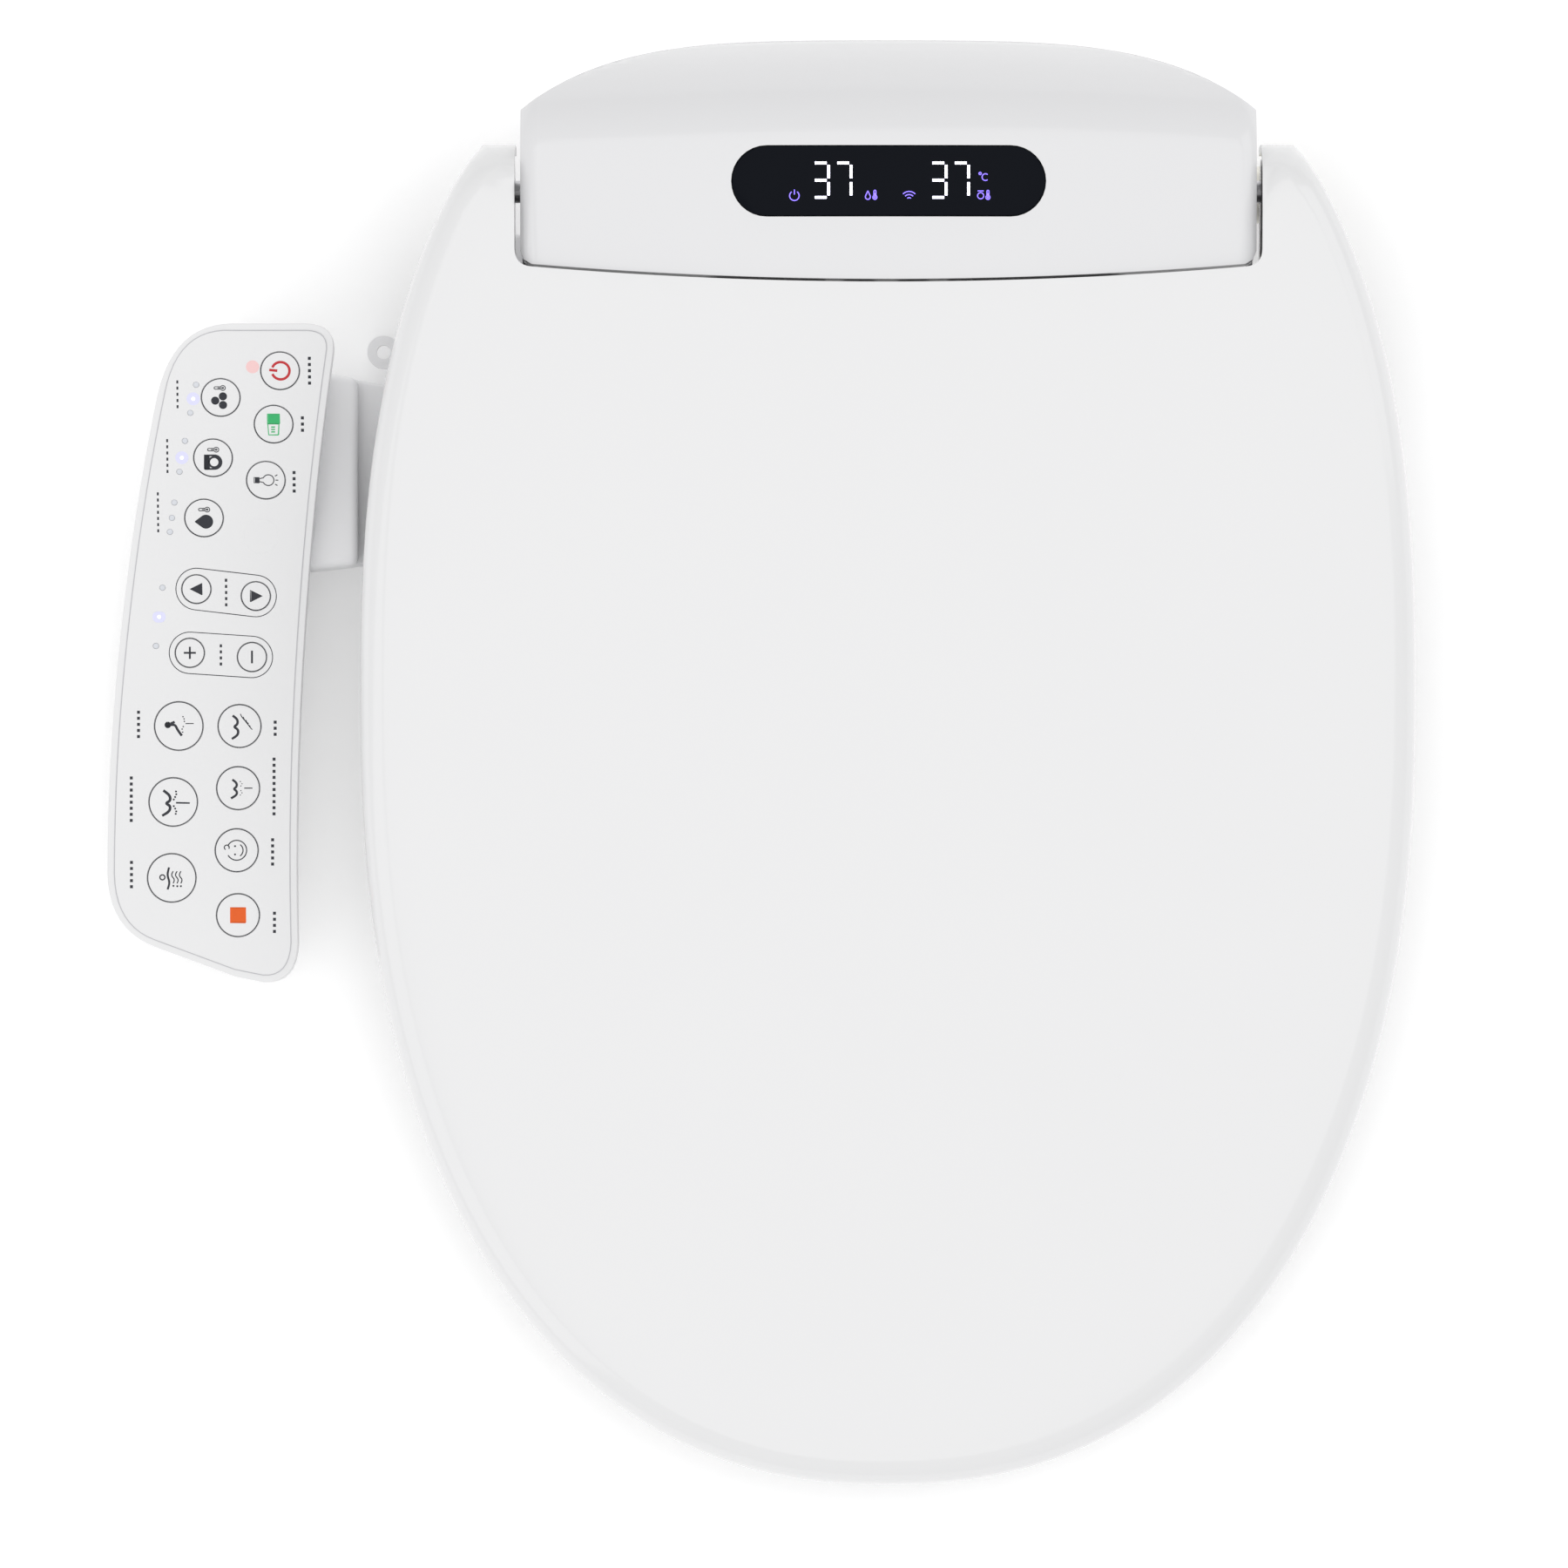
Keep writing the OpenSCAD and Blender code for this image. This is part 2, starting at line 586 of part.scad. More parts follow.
module release_button() color("gainsboro") union() {
    block([body_half_w - 4, -13.5, 34.5], [body_half_w + 1.2, -2.5, 45.5]);
    block([body_half_w - 6, -15.5, 32.5], [body_half_w - 4, -0.5, 47.5]);
}

plug_x = -183;
plug_y = -50.8;
plug_r = 2.6;
module drain_plug() color("gainsboro") difference() {
    union() {
        rod_x(plug_x + 4, plug_x + 38, plug_y, 8, plug_r);
        translate([plug_x, plug_y, 5.5]) cylinder(r = 6, h = 5);
    }
    translate([plug_x, plug_y, 0]) cylinder(r = 2.5, h = 20);
}

// ---------- control panel ----------

function panel_in_x(y) = -213.7 + 4.2e-4 * pow(y + 235, 2);
function panel_out_x(y) = -282.3 + 6.4e-4 * pow(y + 240.8, 2);
function panel_top(y) = panel_z + tan(panel_tilt) * bend_s * ln(1 + exp((y - bend_y) / bend_s));
function panel_angle(y) = atan(tan(panel_tilt) / (1 + exp(-(y - bend_y) / bend_s)));

// Plan of the panel, drawn in by an inset
function panel_plan(i) = concat(
    [for (y = [-256:20.2:-54]) [panel_in_x(y) - i, y]],
    bend([panel_in_x(-54) - i, -54], [panel_in_x(panel_rear_y) - i, panel_rear_y - i],
        [-209.5, panel_rear_y - i]),
    bend([-236, panel_rear_y - i], [-257 + i / 2, panel_rear_y - i / 2], [panel_out_x(-68) + i, -68], 7),
    [for (y = [-84:-18:-238]) [panel_out_x(y) + i, y]],
    bend([panel_out_x(-241) + i, -241], [-282 + i, -261 + i / 2], [-265, -267.5 + i], 6),
    [[-236, -278.2 + i]],
    bend([-226, -280.2 + i], [-213.9 - i, -281 + i], [panel_in_x(-266) - i, -266]));

// A layer of the panel between two depths below its top surface
module panel_layer(inset, top, bottom) intersection() {
    translate([0, 0, -20]) linear_extrude(height = 160) polygon(panel_plan(inset));
    translate([-320, 0, 0]) rotate([90, 0, 90]) linear_extrude(height = 160) polygon(concat(
        [for (y = [-30:-12:-294]) [y, panel_top(y) + top]],
        [for (y = [-294:12:-30]) [y, panel_top(y) + bottom]]));
}

// Places what follows on the panel's surface, square to it
module on_panel(x, y) translate([x, y, panel_top(y)]) rotate([panel_angle(y), 0, 0]) children();

key_r = 7.2;
key_wide_r = 9;
key_mid_r = 8;
key_small_r = 5.5;
// Each key's centre and radius, in the order of KEYS
KEY_AT = [
    [-219, -60, key_r], [-221.5, -79, key_r], [-224.5, -99, key_r],
    [-240.5, -69.5, key_r], [-243.5, -91, key_r], [-247, -112.5, key_r],
    [-250, -138, key_small_r], [-228.5, -140.5, key_small_r],
    [-252.5, -161, key_small_r], [-230, -162.5, key_small_r],
    [-256.5, -187.5, key_wide_r], [-258.5, -215, key_wide_r], [-259, -242.5, key_wide_r],
    [-234.5, -187.5, key_mid_r], [-235, -210, key_mid_r], [-235.5, -232.5, key_mid_r],
    [-235, -256, key_mid_r]];
key_h = 4;
led_inset = 13.2;
led_h = 4.8;
LED_Y = [-65, -70, -75, -85, -91, -96, -107, -112.5, -117.5, -137.5, -148, -158.5];
split_depth = 7;

module panel_top_case() color("white") difference() {
    panel_layer(0, 0, -split_depth);
    panel_layer(film_wall, -film_wall, -split_depth - 1);
    for (k = KEY_AT) on_panel(k.x, k.y) translate([0, 0, -5]) cylinder(r = k[2] + key_gap, h = 8);
    for (y = LED_Y) on_panel(panel_out_x(y) + led_inset, y) translate([0, 0, -5]) cylinder(r = 1.15, h = 8);
}

module panel_bottom_case() color("white") difference() {
    union() {
        panel_layer(0, -split_depth - 0.1, -panel_thick);
        intersection() {
            panel_layer(1.5, -panel_thick + 1, -panel_thick - 30);
            block([-250, -150, 2], [-190, -60, 80]);
        }
    }
    panel_layer(film_wall, -split_depth + 1, -panel_thick + film_wall);
}

module panel_board() color("darkgreen") panel_layer(film_wall + 0.8, -5.4, -6.6);

module indicator_lights() color("aliceblue") for (y = LED_Y)
    on_panel(panel_out_x(y) + led_inset, y) translate([0, 0, -led_h]) cylinder(r = 1, h = led_h);

// The arm is a hollow channel that carries the panel and its leads under the seat
arm_top = 13;
arm_rise = 14;
module panel_arm() color("whitesmoke") difference() {
    union() {
        translate([0, 0, 2]) linear_extrude(height = arm_top - 2) polygon([
            [-body_half_w - 0.2, -23], [-body_half_w - 0.2, -8], [-139, -8], [-147, -44], [-160, -67],
            [-206, -58.5], [-211, -80], [-213, -131], [-184, -128], [-160, -100], [-139, -60]]);
        // It steps up outside the lid's rim
        translate([0, 0, arm_top - 1]) linear_extrude(height = arm_rise) polygon([
            [-192, -61], [-206, -58.5], [-211, -80], [-213, -131], [-192, -128.8]]);
    }
    translate([0, 0, 4.5]) linear_extrude(height = arm_top - 6.5) polygon([
        [-134.5, -20], [-134.5, -11], [-136.6, -11], [-141, -34], [-136, -50]]);
    block([-195, -120, 4.5], [-165, -75, arm_top - 2]);
    intersection() {
        panel_layer(1.2, -panel_thick + 1.3, -panel_thick - 30.3);
        block([-250.3, -150.3, 0], [-190, -59.7, 80]);
    }
    panel_layer(-0.4, 0, -panel_thick - 0.3);
    rod_x(plug_x + 5, plug_x + 40, plug_y, 8, plug_r + 0.08);
}

// A key: a cap that shows through the case, and a rim below that keeps it in
module key(k) color("white") on_panel(KEY_AT[k].x, KEY_AT[k].y) union() {
    translate([0, 0, -key_h]) cylinder(r = KEY_AT[k][2], h = key_h);
    translate([0, 0, -key_h]) cylinder(r = KEY_AT[k][2] + 1, h = 1.2);
}

mounting_plate();
base_tray();
top_cover();
display_lens();
display_board();
nozzle_guard();
heater_tank();
inlet_valve();
inlet_filter();
water_pump();
distributor_valve();
nozzle_cradle();
nozzle_motors();
dryer_housing();
dryer_motor();
flap_pin();
main_board();
power_module();
lid_damper();
seat_damper();
hinge_pins();
night_light_lens();
cord_gland();
water_inlet();
hose_set();
cover_screws();
panel_arm();
panel_bottom_case();
panel_top_case();
panel_board();
indicator_lights();
lid();
lid_bumpers();
seat_top();
seat_bottom();
seat_heater();
seat_bumpers();
rear_nozzle();
front_nozzle();
fan_wheel();
dryer_flap();
release_button();
drain_plug();
for (k = [0:len(KEYS) - 1]) key(k);
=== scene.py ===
# %% [markdown]
# # An electric bidet seat
# This lesson dresses a working model of a bidet seat. The mechanical model is loaded as a fixed
# frame, and every new piece rides on one of its moving bodies, so that the lid, the seat and the
# keys still work. The model faces us with its hinge at the back and its control panel on the left.

import json
import math

import bmesh
import bpy
from mathutils import Matrix, Vector


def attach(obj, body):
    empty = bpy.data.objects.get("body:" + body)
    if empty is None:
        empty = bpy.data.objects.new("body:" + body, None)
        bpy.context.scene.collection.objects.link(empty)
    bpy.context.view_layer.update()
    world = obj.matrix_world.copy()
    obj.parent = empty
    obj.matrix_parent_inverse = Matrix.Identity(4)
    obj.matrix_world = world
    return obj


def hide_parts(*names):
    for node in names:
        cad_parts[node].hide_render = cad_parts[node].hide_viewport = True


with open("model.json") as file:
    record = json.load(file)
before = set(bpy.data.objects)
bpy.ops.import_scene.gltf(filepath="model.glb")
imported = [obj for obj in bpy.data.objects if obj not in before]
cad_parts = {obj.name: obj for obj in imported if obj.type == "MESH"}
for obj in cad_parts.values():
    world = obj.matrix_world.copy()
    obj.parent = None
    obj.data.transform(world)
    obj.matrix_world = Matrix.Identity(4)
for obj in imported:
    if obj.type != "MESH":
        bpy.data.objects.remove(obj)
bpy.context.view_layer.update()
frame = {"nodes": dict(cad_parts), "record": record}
nodes = frame["nodes"]
MM = 0.001

# %% [markdown]
# The camera looks almost straight down, leaning a few degrees to the front, through a long lens.
# Large soft lamps give the long gentle highlights that polished white plastic needs.

# %% Camera
look_at = Vector((-0.0373, -0.2095, 0.08))
lean = math.radians(1.2)
distance = 5.0
SENSOR = 36
VIEW_WIDTH = 0.5625
camera_data = bpy.data.cameras.new("camera")
camera_data.sensor_width = SENSOR
camera_data.lens = SENSOR * distance / VIEW_WIDTH
camera = bpy.data.objects.new("camera", camera_data)
camera.location = look_at + distance * Vector((0, -math.sin(lean), math.cos(lean)))
camera.rotation_euler = (lean, 0, 0)
bpy.context.scene.collection.objects.link(camera)
bpy.context.scene.camera = camera

# %% [markdown]
# A white product on a white ground is told apart only by soft shading. One large lamp overhead
# gives most of it, two weaker ones shape the sides, and a bright world keeps the shadows light.

# %% Lamps and floor
def lamp(name, place, size, power, colour=(1, 1, 1)):
    data = bpy.data.lights.new(name, "AREA")
    data.shape, data.size, data.energy, data.color = "SQUARE", size, power, colour
    thing = bpy.data.objects.new(name, data)
    thing.location = place
    thing.rotation_euler = (look_at - Vector(place)).to_track_quat("-Z", "Y").to_euler()
    bpy.context.scene.collection.objects.link(thing)


lamp("sky_lamp", (0.1, -0.4, 3.2), 3.2, 24)
lamp("side_lamp", (1.9, 0.4, 1.6), 1.6, 6)
lamp("front_lamp", (-1.6, -1.2, 1.3), 1.8, 7)
world = bpy.data.worlds.new("studio")
world.use_nodes = True
world.node_tree.nodes["Background"].inputs["Color"].default_value = (1, 1, 1, 1)
world.node_tree.nodes["Background"].inputs["Strength"].default_value = 0.84
bpy.context.scene.world = world
bpy.context.scene.view_settings.view_transform = "Standard"

# %% [markdown]
# Every operator works on what is selected, so a helper clears the selection first. Shapes with
# a changing outline are drawn as one circle that is extruded again and again, each new loop being
# moved to its own place, which is how a hand modeller pulls a shell out of its rim.

# %% Helpers for modelling
def clear_selection():
    if bpy.context.object and bpy.context.object.mode != "OBJECT":
        bpy.ops.object.mode_set(mode="OBJECT")
    bpy.ops.object.select_all(action="DESELECT")


def pick(thing):
    clear_selection()
    thing.select_set(True)
    bpy.context.view_layer.objects.active = thing


def use_modifier(thing, kind, **values):
    pick(thing)
    modifier = thing.modifiers.new(kind.lower(), kind)
    for key, value in values.items():
        setattr(modifier, key, value)
    bpy.ops.object.modifier_apply(modifier=modifier.name)


def pull_rings(name, rings, closed=False):
    """One circle, extruded through rings given in millimetres. Open ends are filled."""
    clear_selection()
    bpy.ops.mesh.primitive_circle_add(vertices=len(rings[0]), radius=0.01)
    thing = bpy.context.object
    thing.name = name
    for vertex, place in zip(thing.data.vertices, rings[0]):
        vertex.co = Vector(place) * MM
    bpy.ops.object.mode_set(mode="EDIT")
    for ring in rings[1:]:
        bpy.ops.mesh.extrude_edges_move()
        mesh = bmesh.from_edit_mesh(thing.data)
        mesh.verts.ensure_lookup_table()
        for vertex, place in zip(mesh.verts[-len(ring):], ring):
            vertex.co = Vector(place) * MM
    bpy.ops.mesh.select_all(action="SELECT")
    if closed:
        bpy.ops.mesh.remove_doubles(threshold=1e-6)
    else:
        bpy.ops.mesh.select_non_manifold(extend=False)
        bpy.ops.mesh.fill_holes(sides=0)
    bpy.ops.mesh.select_all(action="SELECT")
    bpy.ops.mesh.normals_make_consistent(inside=False)
    bpy.ops.object.mode_set(mode="OBJECT")
    thing.location = (0, 0, 0)
    return thing


def smooth(thing, angle=35):
    pick(thing)
    bpy.ops.object.shade_smooth_by_angle(angle=math.radians(angle))


def soften(thing, width, segments=3, angle=40):
    use_modifier(thing, "BEVEL", width=width, segments=segments, limit_method="ANGLE",
                 angle_limit=math.radians(angle), harden_normals=False)


def cut(thing, cutter):
    pick(thing)
    modifier = thing.modifiers.new("cut", "BOOLEAN")
    modifier.operation, modifier.object, modifier.solver = "DIFFERENCE", cutter, "EXACT"
    bpy.ops.object.modifier_apply(modifier="cut")


def keep(thing, cutter):
    pick(thing)
    modifier = thing.modifiers.new("keep", "BOOLEAN")
    modifier.operation, modifier.object, modifier.solver = "INTERSECT", cutter, "EXACT"
    bpy.ops.object.modifier_apply(modifier="keep")


def discard(*things):
    for thing in things:
        bpy.data.objects.remove(thing)


def prism(name, outline, low, high):
    """A plan outline in millimetres, raised between two heights."""
    return pull_rings(name, [[(x, y, low) for x, y in outline], [(x, y, high) for x, y in outline]])


def finish_piece(thing, body, slot, material, *replaced):
    thing.data.materials.clear()
    thing.data.materials.append(material)
    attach(thing, body)
    if replaced:
        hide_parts(*replaced)


# %% [markdown]
# Polished plastic is never perfectly even: it has faint orange peel from the mould, a slow drift
# in its gloss, and fine scuffs. One node group makes these masks, and each material sets how much
# of them it shows.

# %% A shared group for moulded surfaces
def moulded_group():
    group = bpy.data.node_groups.new("moulded_surface", "ShaderNodeTree")
    face = group.interface
    for name, value in (("Peel Scale", 900.0), ("Drift Scale", 14.0), ("Gloss", 0.2), ("Spread", 0.05)):
        socket = face.new_socket(name, in_out="INPUT", socket_type="NodeSocketFloat")
        socket.default_value = value
    face.new_socket("Height", in_out="OUTPUT", socket_type="NodeSocketFloat")
    face.new_socket("Roughness", in_out="OUTPUT", socket_type="NodeSocketFloat")
    face.new_socket("Tint", in_out="OUTPUT", socket_type="NodeSocketFloat")
    n, link = group.nodes, group.links.new
    given, made = n.new("NodeGroupInput"), n.new("NodeGroupOutput")
    where = n.new("ShaderNodeTexCoord")
    peel, drift = n.new("ShaderNodeTexNoise"), n.new("ShaderNodeTexNoise")
    scuff = n.new("ShaderNodeTexNoise")
    scuff.inputs["Scale"].default_value = 160
    scuff.inputs["Detail"].default_value = 6
    link(where.outputs["Object"], peel.inputs["Vector"])
    link(where.outputs["Object"], drift.inputs["Vector"])
    link(where.outputs["Object"], scuff.inputs["Vector"])
    link(given.outputs["Peel Scale"], peel.inputs["Scale"])
    link(given.outputs["Drift Scale"], drift.inputs["Scale"])
    mixed = n.new("ShaderNodeMath")
    mixed.operation = "MULTIPLY"
    link(drift.outputs["Fac"], mixed.inputs[0])
    link(scuff.outputs["Fac"], mixed.inputs[1])
    rough = n.new("ShaderNodeMath")
    rough.operation = "MULTIPLY_ADD"
    link(mixed.outputs[0], rough.inputs[0])
    link(given.outputs["Spread"], rough.inputs[1])
    link(given.outputs["Gloss"], rough.inputs[2])
    link(rough.outputs[0], made.inputs["Roughness"])
    link(peel.outputs["Fac"], made.inputs["Height"])
    link(drift.outputs["Fac"], made.inputs["Tint"])
    return group


moulded = moulded_group()


def plastic(name, colour, gloss=0.2, spread=0.1, peel=900, bump=0.02, coat=0.0, metal=0.0,
            glow=None, strength=0.0, drift=0.03, specular=0.5):
    material = bpy.data.materials.new(name)
    material.use_nodes = True
    n, link = material.node_tree.nodes, material.node_tree.links.new
    shader = n["Principled BSDF"]
    surface = n.new("ShaderNodeGroup")
    surface.node_tree = moulded
    surface.inputs["Peel Scale"].default_value = peel
    surface.inputs["Gloss"].default_value = gloss
    surface.inputs["Spread"].default_value = spread
    tone = n.new("ShaderNodeMix")
    tone.data_type = "RGBA"
    tone.inputs["A"].default_value = (*[c * (1 - drift) for c in colour], 1)
    tone.inputs["B"].default_value = (*[min(1, c * (1 + drift)) for c in colour], 1)
    link(surface.outputs["Tint"], tone.inputs["Factor"])
    link(tone.outputs["Result"], shader.inputs["Base Color"])
    link(surface.outputs["Roughness"], shader.inputs["Roughness"])
    relief = n.new("ShaderNodeBump")
    relief.inputs["Strength"].default_value = bump
    relief.inputs["Distance"].default_value = 0.0004
    link(surface.outputs["Height"], relief.inputs["Height"])
    link(relief.outputs["Normal"], shader.inputs["Normal"])
    shader.inputs["Coat Weight"].default_value = coat
    shader.inputs["Coat Roughness"].default_value = 0.06
    shader.inputs["Metallic"].default_value = metal
    shader.inputs["Specular IOR Level"].default_value = specular
    if glow:
        shader.inputs["Emission Color"].default_value = (*glow, 1)
        shader.inputs["Emission Strength"].default_value = strength
    return material


finishes = {
    "lid_white": plastic("lid_white", (0.715, 0.715, 0.72), 0.13, 0.08, coat=0.35, drift=0.006),
    "cover_white": plastic("cover_white", (0.685, 0.685, 0.695), 0.17, 0.08, coat=0.3, drift=0.006),
    "seat_white": plastic("seat_white", (0.72, 0.72, 0.725), 0.15, 0.1, coat=0.3, drift=0.01),
    # The housing white is set lighter than the other whites. This extra lightness is painted light: it makes
    # the panel arm look evenly lit in the shade that the lid casts on it.
    "housing_white": plastic("housing_white", (0.90, 0.90, 0.91), 0.35, 0.2, 2200, 0.12, drift=0.012),
    "panel_white": plastic("panel_white", (0.73, 0.73, 0.735), 0.3, 0.1, 2600, 0.05, drift=0.008),
    "key_white": plastic("key_white", (0.735, 0.735, 0.74), 0.32, 0.1, 2600, 0.06, drift=0.008),
    "display_black": plastic("display_black", (0.004, 0.005, 0.008), 0.12, 0.05, specular=0.04),
    "board_green": plastic("board_green", (0.02, 0.16, 0.07), 0.35, 0.3, 3000, 0.2, drift=0.2),
    "rubber_grey": plastic("rubber_grey", (0.42, 0.42, 0.42), 0.75, 0.2, 4000, 0.3, drift=0.06),
    "steel": plastic("steel", (0.6, 0.6, 0.62), 0.25, 0.3, 1500, 0.1, metal=1.0, drift=0.08),
    "brass": plastic("brass", (0.72, 0.7, 0.64), 0.22, 0.2, 1500, 0.1, metal=1.0, drift=0.06),
    "inner_grey": plastic("inner_grey", (0.5, 0.5, 0.52), 0.5, 0.2, 2000, 0.2, drift=0.05),
    "dark_plastic": plastic("dark_plastic", (0.03, 0.03, 0.034), 0.45, 0.2, 2500, 0.3, drift=0.2),
    "hose": plastic("hose", (0.7, 0.7, 0.66), 0.4, 0.2, 800, 0.2, drift=0.05),
    "nozzle_white": plastic("nozzle_white", (0.78, 0.78, 0.79), 0.15, 0.1, coat=0.4, drift=0.01),
    "heater_foil": plastic("heater_foil", (0.7, 0.7, 0.7), 0.3, 0.4, 500, 0.6, metal=1.0, drift=0.1),
    "light_lens": plastic("light_lens", (0.62, 0.64, 0.68), 0.3, 0.1, 2000, 0.1, drift=0.02),
    "print_dark": plastic("print_dark", (0.010, 0.012, 0.020), 0.5, 0.2, 3000, 0.1, drift=0.15),
    "print_red": plastic("print_red", (0.48, 0.008, 0.014), 0.4, 0.2, 3000, 0.1, drift=0.1),
    "print_green": plastic("print_green", (0.02, 0.42, 0.13), 0.4, 0.2, 3000, 0.1, drift=0.1),
    "print_orange": plastic("print_orange", (0.74, 0.10, 0.0), 0.55, 0.2, 3000, 0.1, drift=0.1),
}
glow_white = plastic("glow_white", (0.8, 0.8, 0.9), 0.4, glow=(0.80, 0.78, 1.0), strength=2.2)
glow_violet = plastic("glow_violet", (0.2, 0.15, 0.6), 0.4, glow=(0.16, 0.10, 0.85), strength=1.6)
halo_blue = plastic("halo_blue", (0.60, 0.60, 0.74), 0.5, glow=(0.55, 0.55, 1.0), strength=0.16)
halo_red = plastic("halo_red", (0.74, 0.52, 0.52), 0.5, glow=(1.0, 0.30, 0.28), strength=0.10)
glow_blue = plastic("glow_blue", (0.7, 0.8, 1.0), 0.4, glow=(0.75, 0.88, 1.0), strength=1.3)

record = frame["record"]
for entry in record["subparts"]:
    thing = nodes[entry["node"]]
    thing.data.materials.clear()
    thing.data.materials.append(finishes[entry["material_slot"]])
print("finishes:", len(finishes))

# %% [markdown]
# The lid's plan is two superellipses that meet on its widest line. Its top rises to the rear and
# is gently crowned. The housing's front edge bows forward, and the lid is cut to follow it.
# These rules, in millimetres, are the shape that the lid, the seat and the cover share.

# %% The rules of the shell shapes
HALF_W, FRONT, REAR, MID_Y, EAR_Y = 189.5, 276.7, 268.0, -185.0, 19.6
HINGE_Y, HINGE_Z = 4.0, 66.0
BODY_W, BODY_REAR, COVER_FRONT, SEAM_Z = 131.5, 58.0, -24.0, 60.0
# How the lid's top rises from its front to the crest, and rolls off at the front, rear and sides
LID_FRONT_Z, LID_RISE, CREST_Y = 56, 58, -30
FRONT_ROLL, REAR_ROLL, CROWN = 5, 14, 11
# The skirt's lower edge steps up toward the rear, where the lid's ears pass the housing
SKIRT_Z, SKIRT_LIFT, SKIRT_Y, SKIRT_SPREAD = 22, 26, -40, 9
FRONT_BOW = 6
PIN_R, HUB_R, HUB_IN, HUB_OUT = 4.1, 12.0, 142.0, 149.0
# Every cut runs well past the piece that it cuts
BELOW, ABOVE, BEHIND = -20, 200, 90
AROUND = 144


def curve(a, c, b, n=8):
    return [tuple((1 - t) ** 2 * p + 2 * t * (1 - t) * q + t * t * r for p, q, r in zip(a, c, b))
            for t in [k / n for k in range(n + 1)]]


def signed_power(value, n):
    return math.copysign(abs(value) ** (2 / n), value)


def plan(turn, inset=0.0, share=1.0):
    c, s = math.cos(turn), math.sin(turn)
    n, length = (2.27, FRONT) if s < 0 else (2.6, REAR)
    x = (HALF_W - inset) * signed_power(c, n)
    y = (length - inset) * signed_power(s, n)
    return share * x, MID_Y + share * y


def lid_top(x, y):
    rise = LID_RISE * (y - MID_Y + FRONT) / (CREST_Y - MID_Y + FRONT)
    front_roll = FRONT_ROLL * max(0, (MID_Y - y) / FRONT) ** 4
    rear_roll = (y - HINGE_Y) ** 2 / REAR_ROLL if y > HINGE_Y else 0
    return LID_FRONT_Z + rise - front_roll - rear_roll - CROWN * (x / HALF_W) ** 2


def skirt_z(y):
    return SKIRT_Z + SKIRT_LIFT / (1 + math.exp(-(y - SKIRT_Y) / SKIRT_SPREAD))


def cover_edge(x):
    return COVER_FRONT - FRONT_BOW * (1 - (x / BODY_W) ** 2)


def lid_ring(inset, share, drop):
    ring = []
    for i in range(AROUND):
        x, y = plan(2 * math.pi * i / AROUND, inset, share)
        y = min(y, EAR_Y - inset)
        ring.append((x, y, lid_top(x, y) - drop))
    return ring


def skirt_ring(inset, lift=0.0):
    ring = []
    for i in range(AROUND):
        x, y = plan(2 * math.pi * i / AROUND, inset)
        y = min(y, EAR_Y - inset)
        ring.append((x, y, skirt_z(y) + lift))
    return ring


# %% [markdown]
# The lid is one thin shell. It starts as a small ring at the middle of the top, and is pulled
# outward ring by ring, round the rim in a quarter circle, down the skirt and back up inside.

# %% Lid
RIM, WALL = 9.0, 3.0
lid_rings = [lid_ring(RIM, s / 14, 0) for s in range(1, 14)]
lid_rings += [lid_ring(RIM * (1 - math.sin(a)), 1, RIM * (1 - math.cos(a)))
              for a in [math.pi / 2 * k / 8 for k in range(9)]]
lid_rings += [skirt_ring(0, 8), skirt_ring(0, 0.8), skirt_ring(0.8), skirt_ring(2.2)]
lid_rings += [skirt_ring(WALL, 0.8), lid_ring(WALL, 1, RIM + 1), lid_ring(WALL + 2, 1, WALL + 3)]
lid_rings += [lid_ring(RIM, 1, WALL + 0.5)]
lid_rings += [lid_ring(RIM, s / 8, WALL) for s in range(7, 0, -1)]
lid = pull_rings("lid_shell", lid_rings)
NOTCH_W, NOTCH_GAP, NOTCH_R = BODY_W + 2, 1, 6
corner_y = cover_edge(NOTCH_W) - NOTCH_GAP
notch_line = [(x, cover_edge(x) - NOTCH_GAP) for x in [NOTCH_W * k / 24 for k in range(-22, 23)]]
corner = curve((NOTCH_W - NOTCH_R, cover_edge(NOTCH_W - NOTCH_R) - NOTCH_GAP),
               (NOTCH_W, corner_y), (NOTCH_W, corner_y + NOTCH_R))
notch_line = [(-x, y) for x, y in reversed(corner)] + notch_line + corner
notch = prism("notch", [(-NOTCH_W, BEHIND)] + notch_line + [(NOTCH_W, BEHIND)], BELOW, ABOVE)
cut(lid, notch)
# The ears are cut away behind each hinge, so that they clear the housing when the lid swings up
RELIEF_OUT, RELIEF_FRONT, RELIEF_REAR, RELIEF_TOP = 141.7, 8, 21, 70
for side in (-1, 1):
    low, high = sorted((side * BODY_W, side * RELIEF_OUT))
    relief = prism("relief", [(low, RELIEF_FRONT), (high, RELIEF_FRONT), (high, RELIEF_REAR),
                              (low, RELIEF_REAR)], 0, RELIEF_TOP)
    cut(lid, relief)
    discard(relief)
discard(notch)
soften(lid, 0.0007, 3, 50)
smooth(lid, 40)
# Hinge hubs, spun on the hinge axis and bored for the pin
hubs = []
for side in (-1, 1):
    hub_profile = [(HUB_IN, PIN_R), (HUB_IN, 11.4), (142.6, HUB_R), (148.4, HUB_R), (HUB_OUT, 11.4),
                   (HUB_OUT, PIN_R)]
    rings = [[(side * x, HINGE_Y + r * math.cos(t), HINGE_Z + r * math.sin(t))
              for t in [2 * math.pi * k / 48 for k in range(48)]] for x, r in hub_profile]
    hub = pull_rings("lid_hub", rings + [rings[0]], closed=True)
    web = pull_rings("lid_web", [[(side * x, HINGE_Y + dy, HINGE_Z + dz) for dy, dz in
                                  ((-9, 9), (6, 9), (6, 22 + 9), (-9, 22 + 9))]
                                 for x in (HUB_IN, HUB_OUT)])
    smooth(hub)
    hubs += [hub, web]
pick(lid)
for hub in hubs:
    hub.select_set(True)
bpy.ops.object.join()
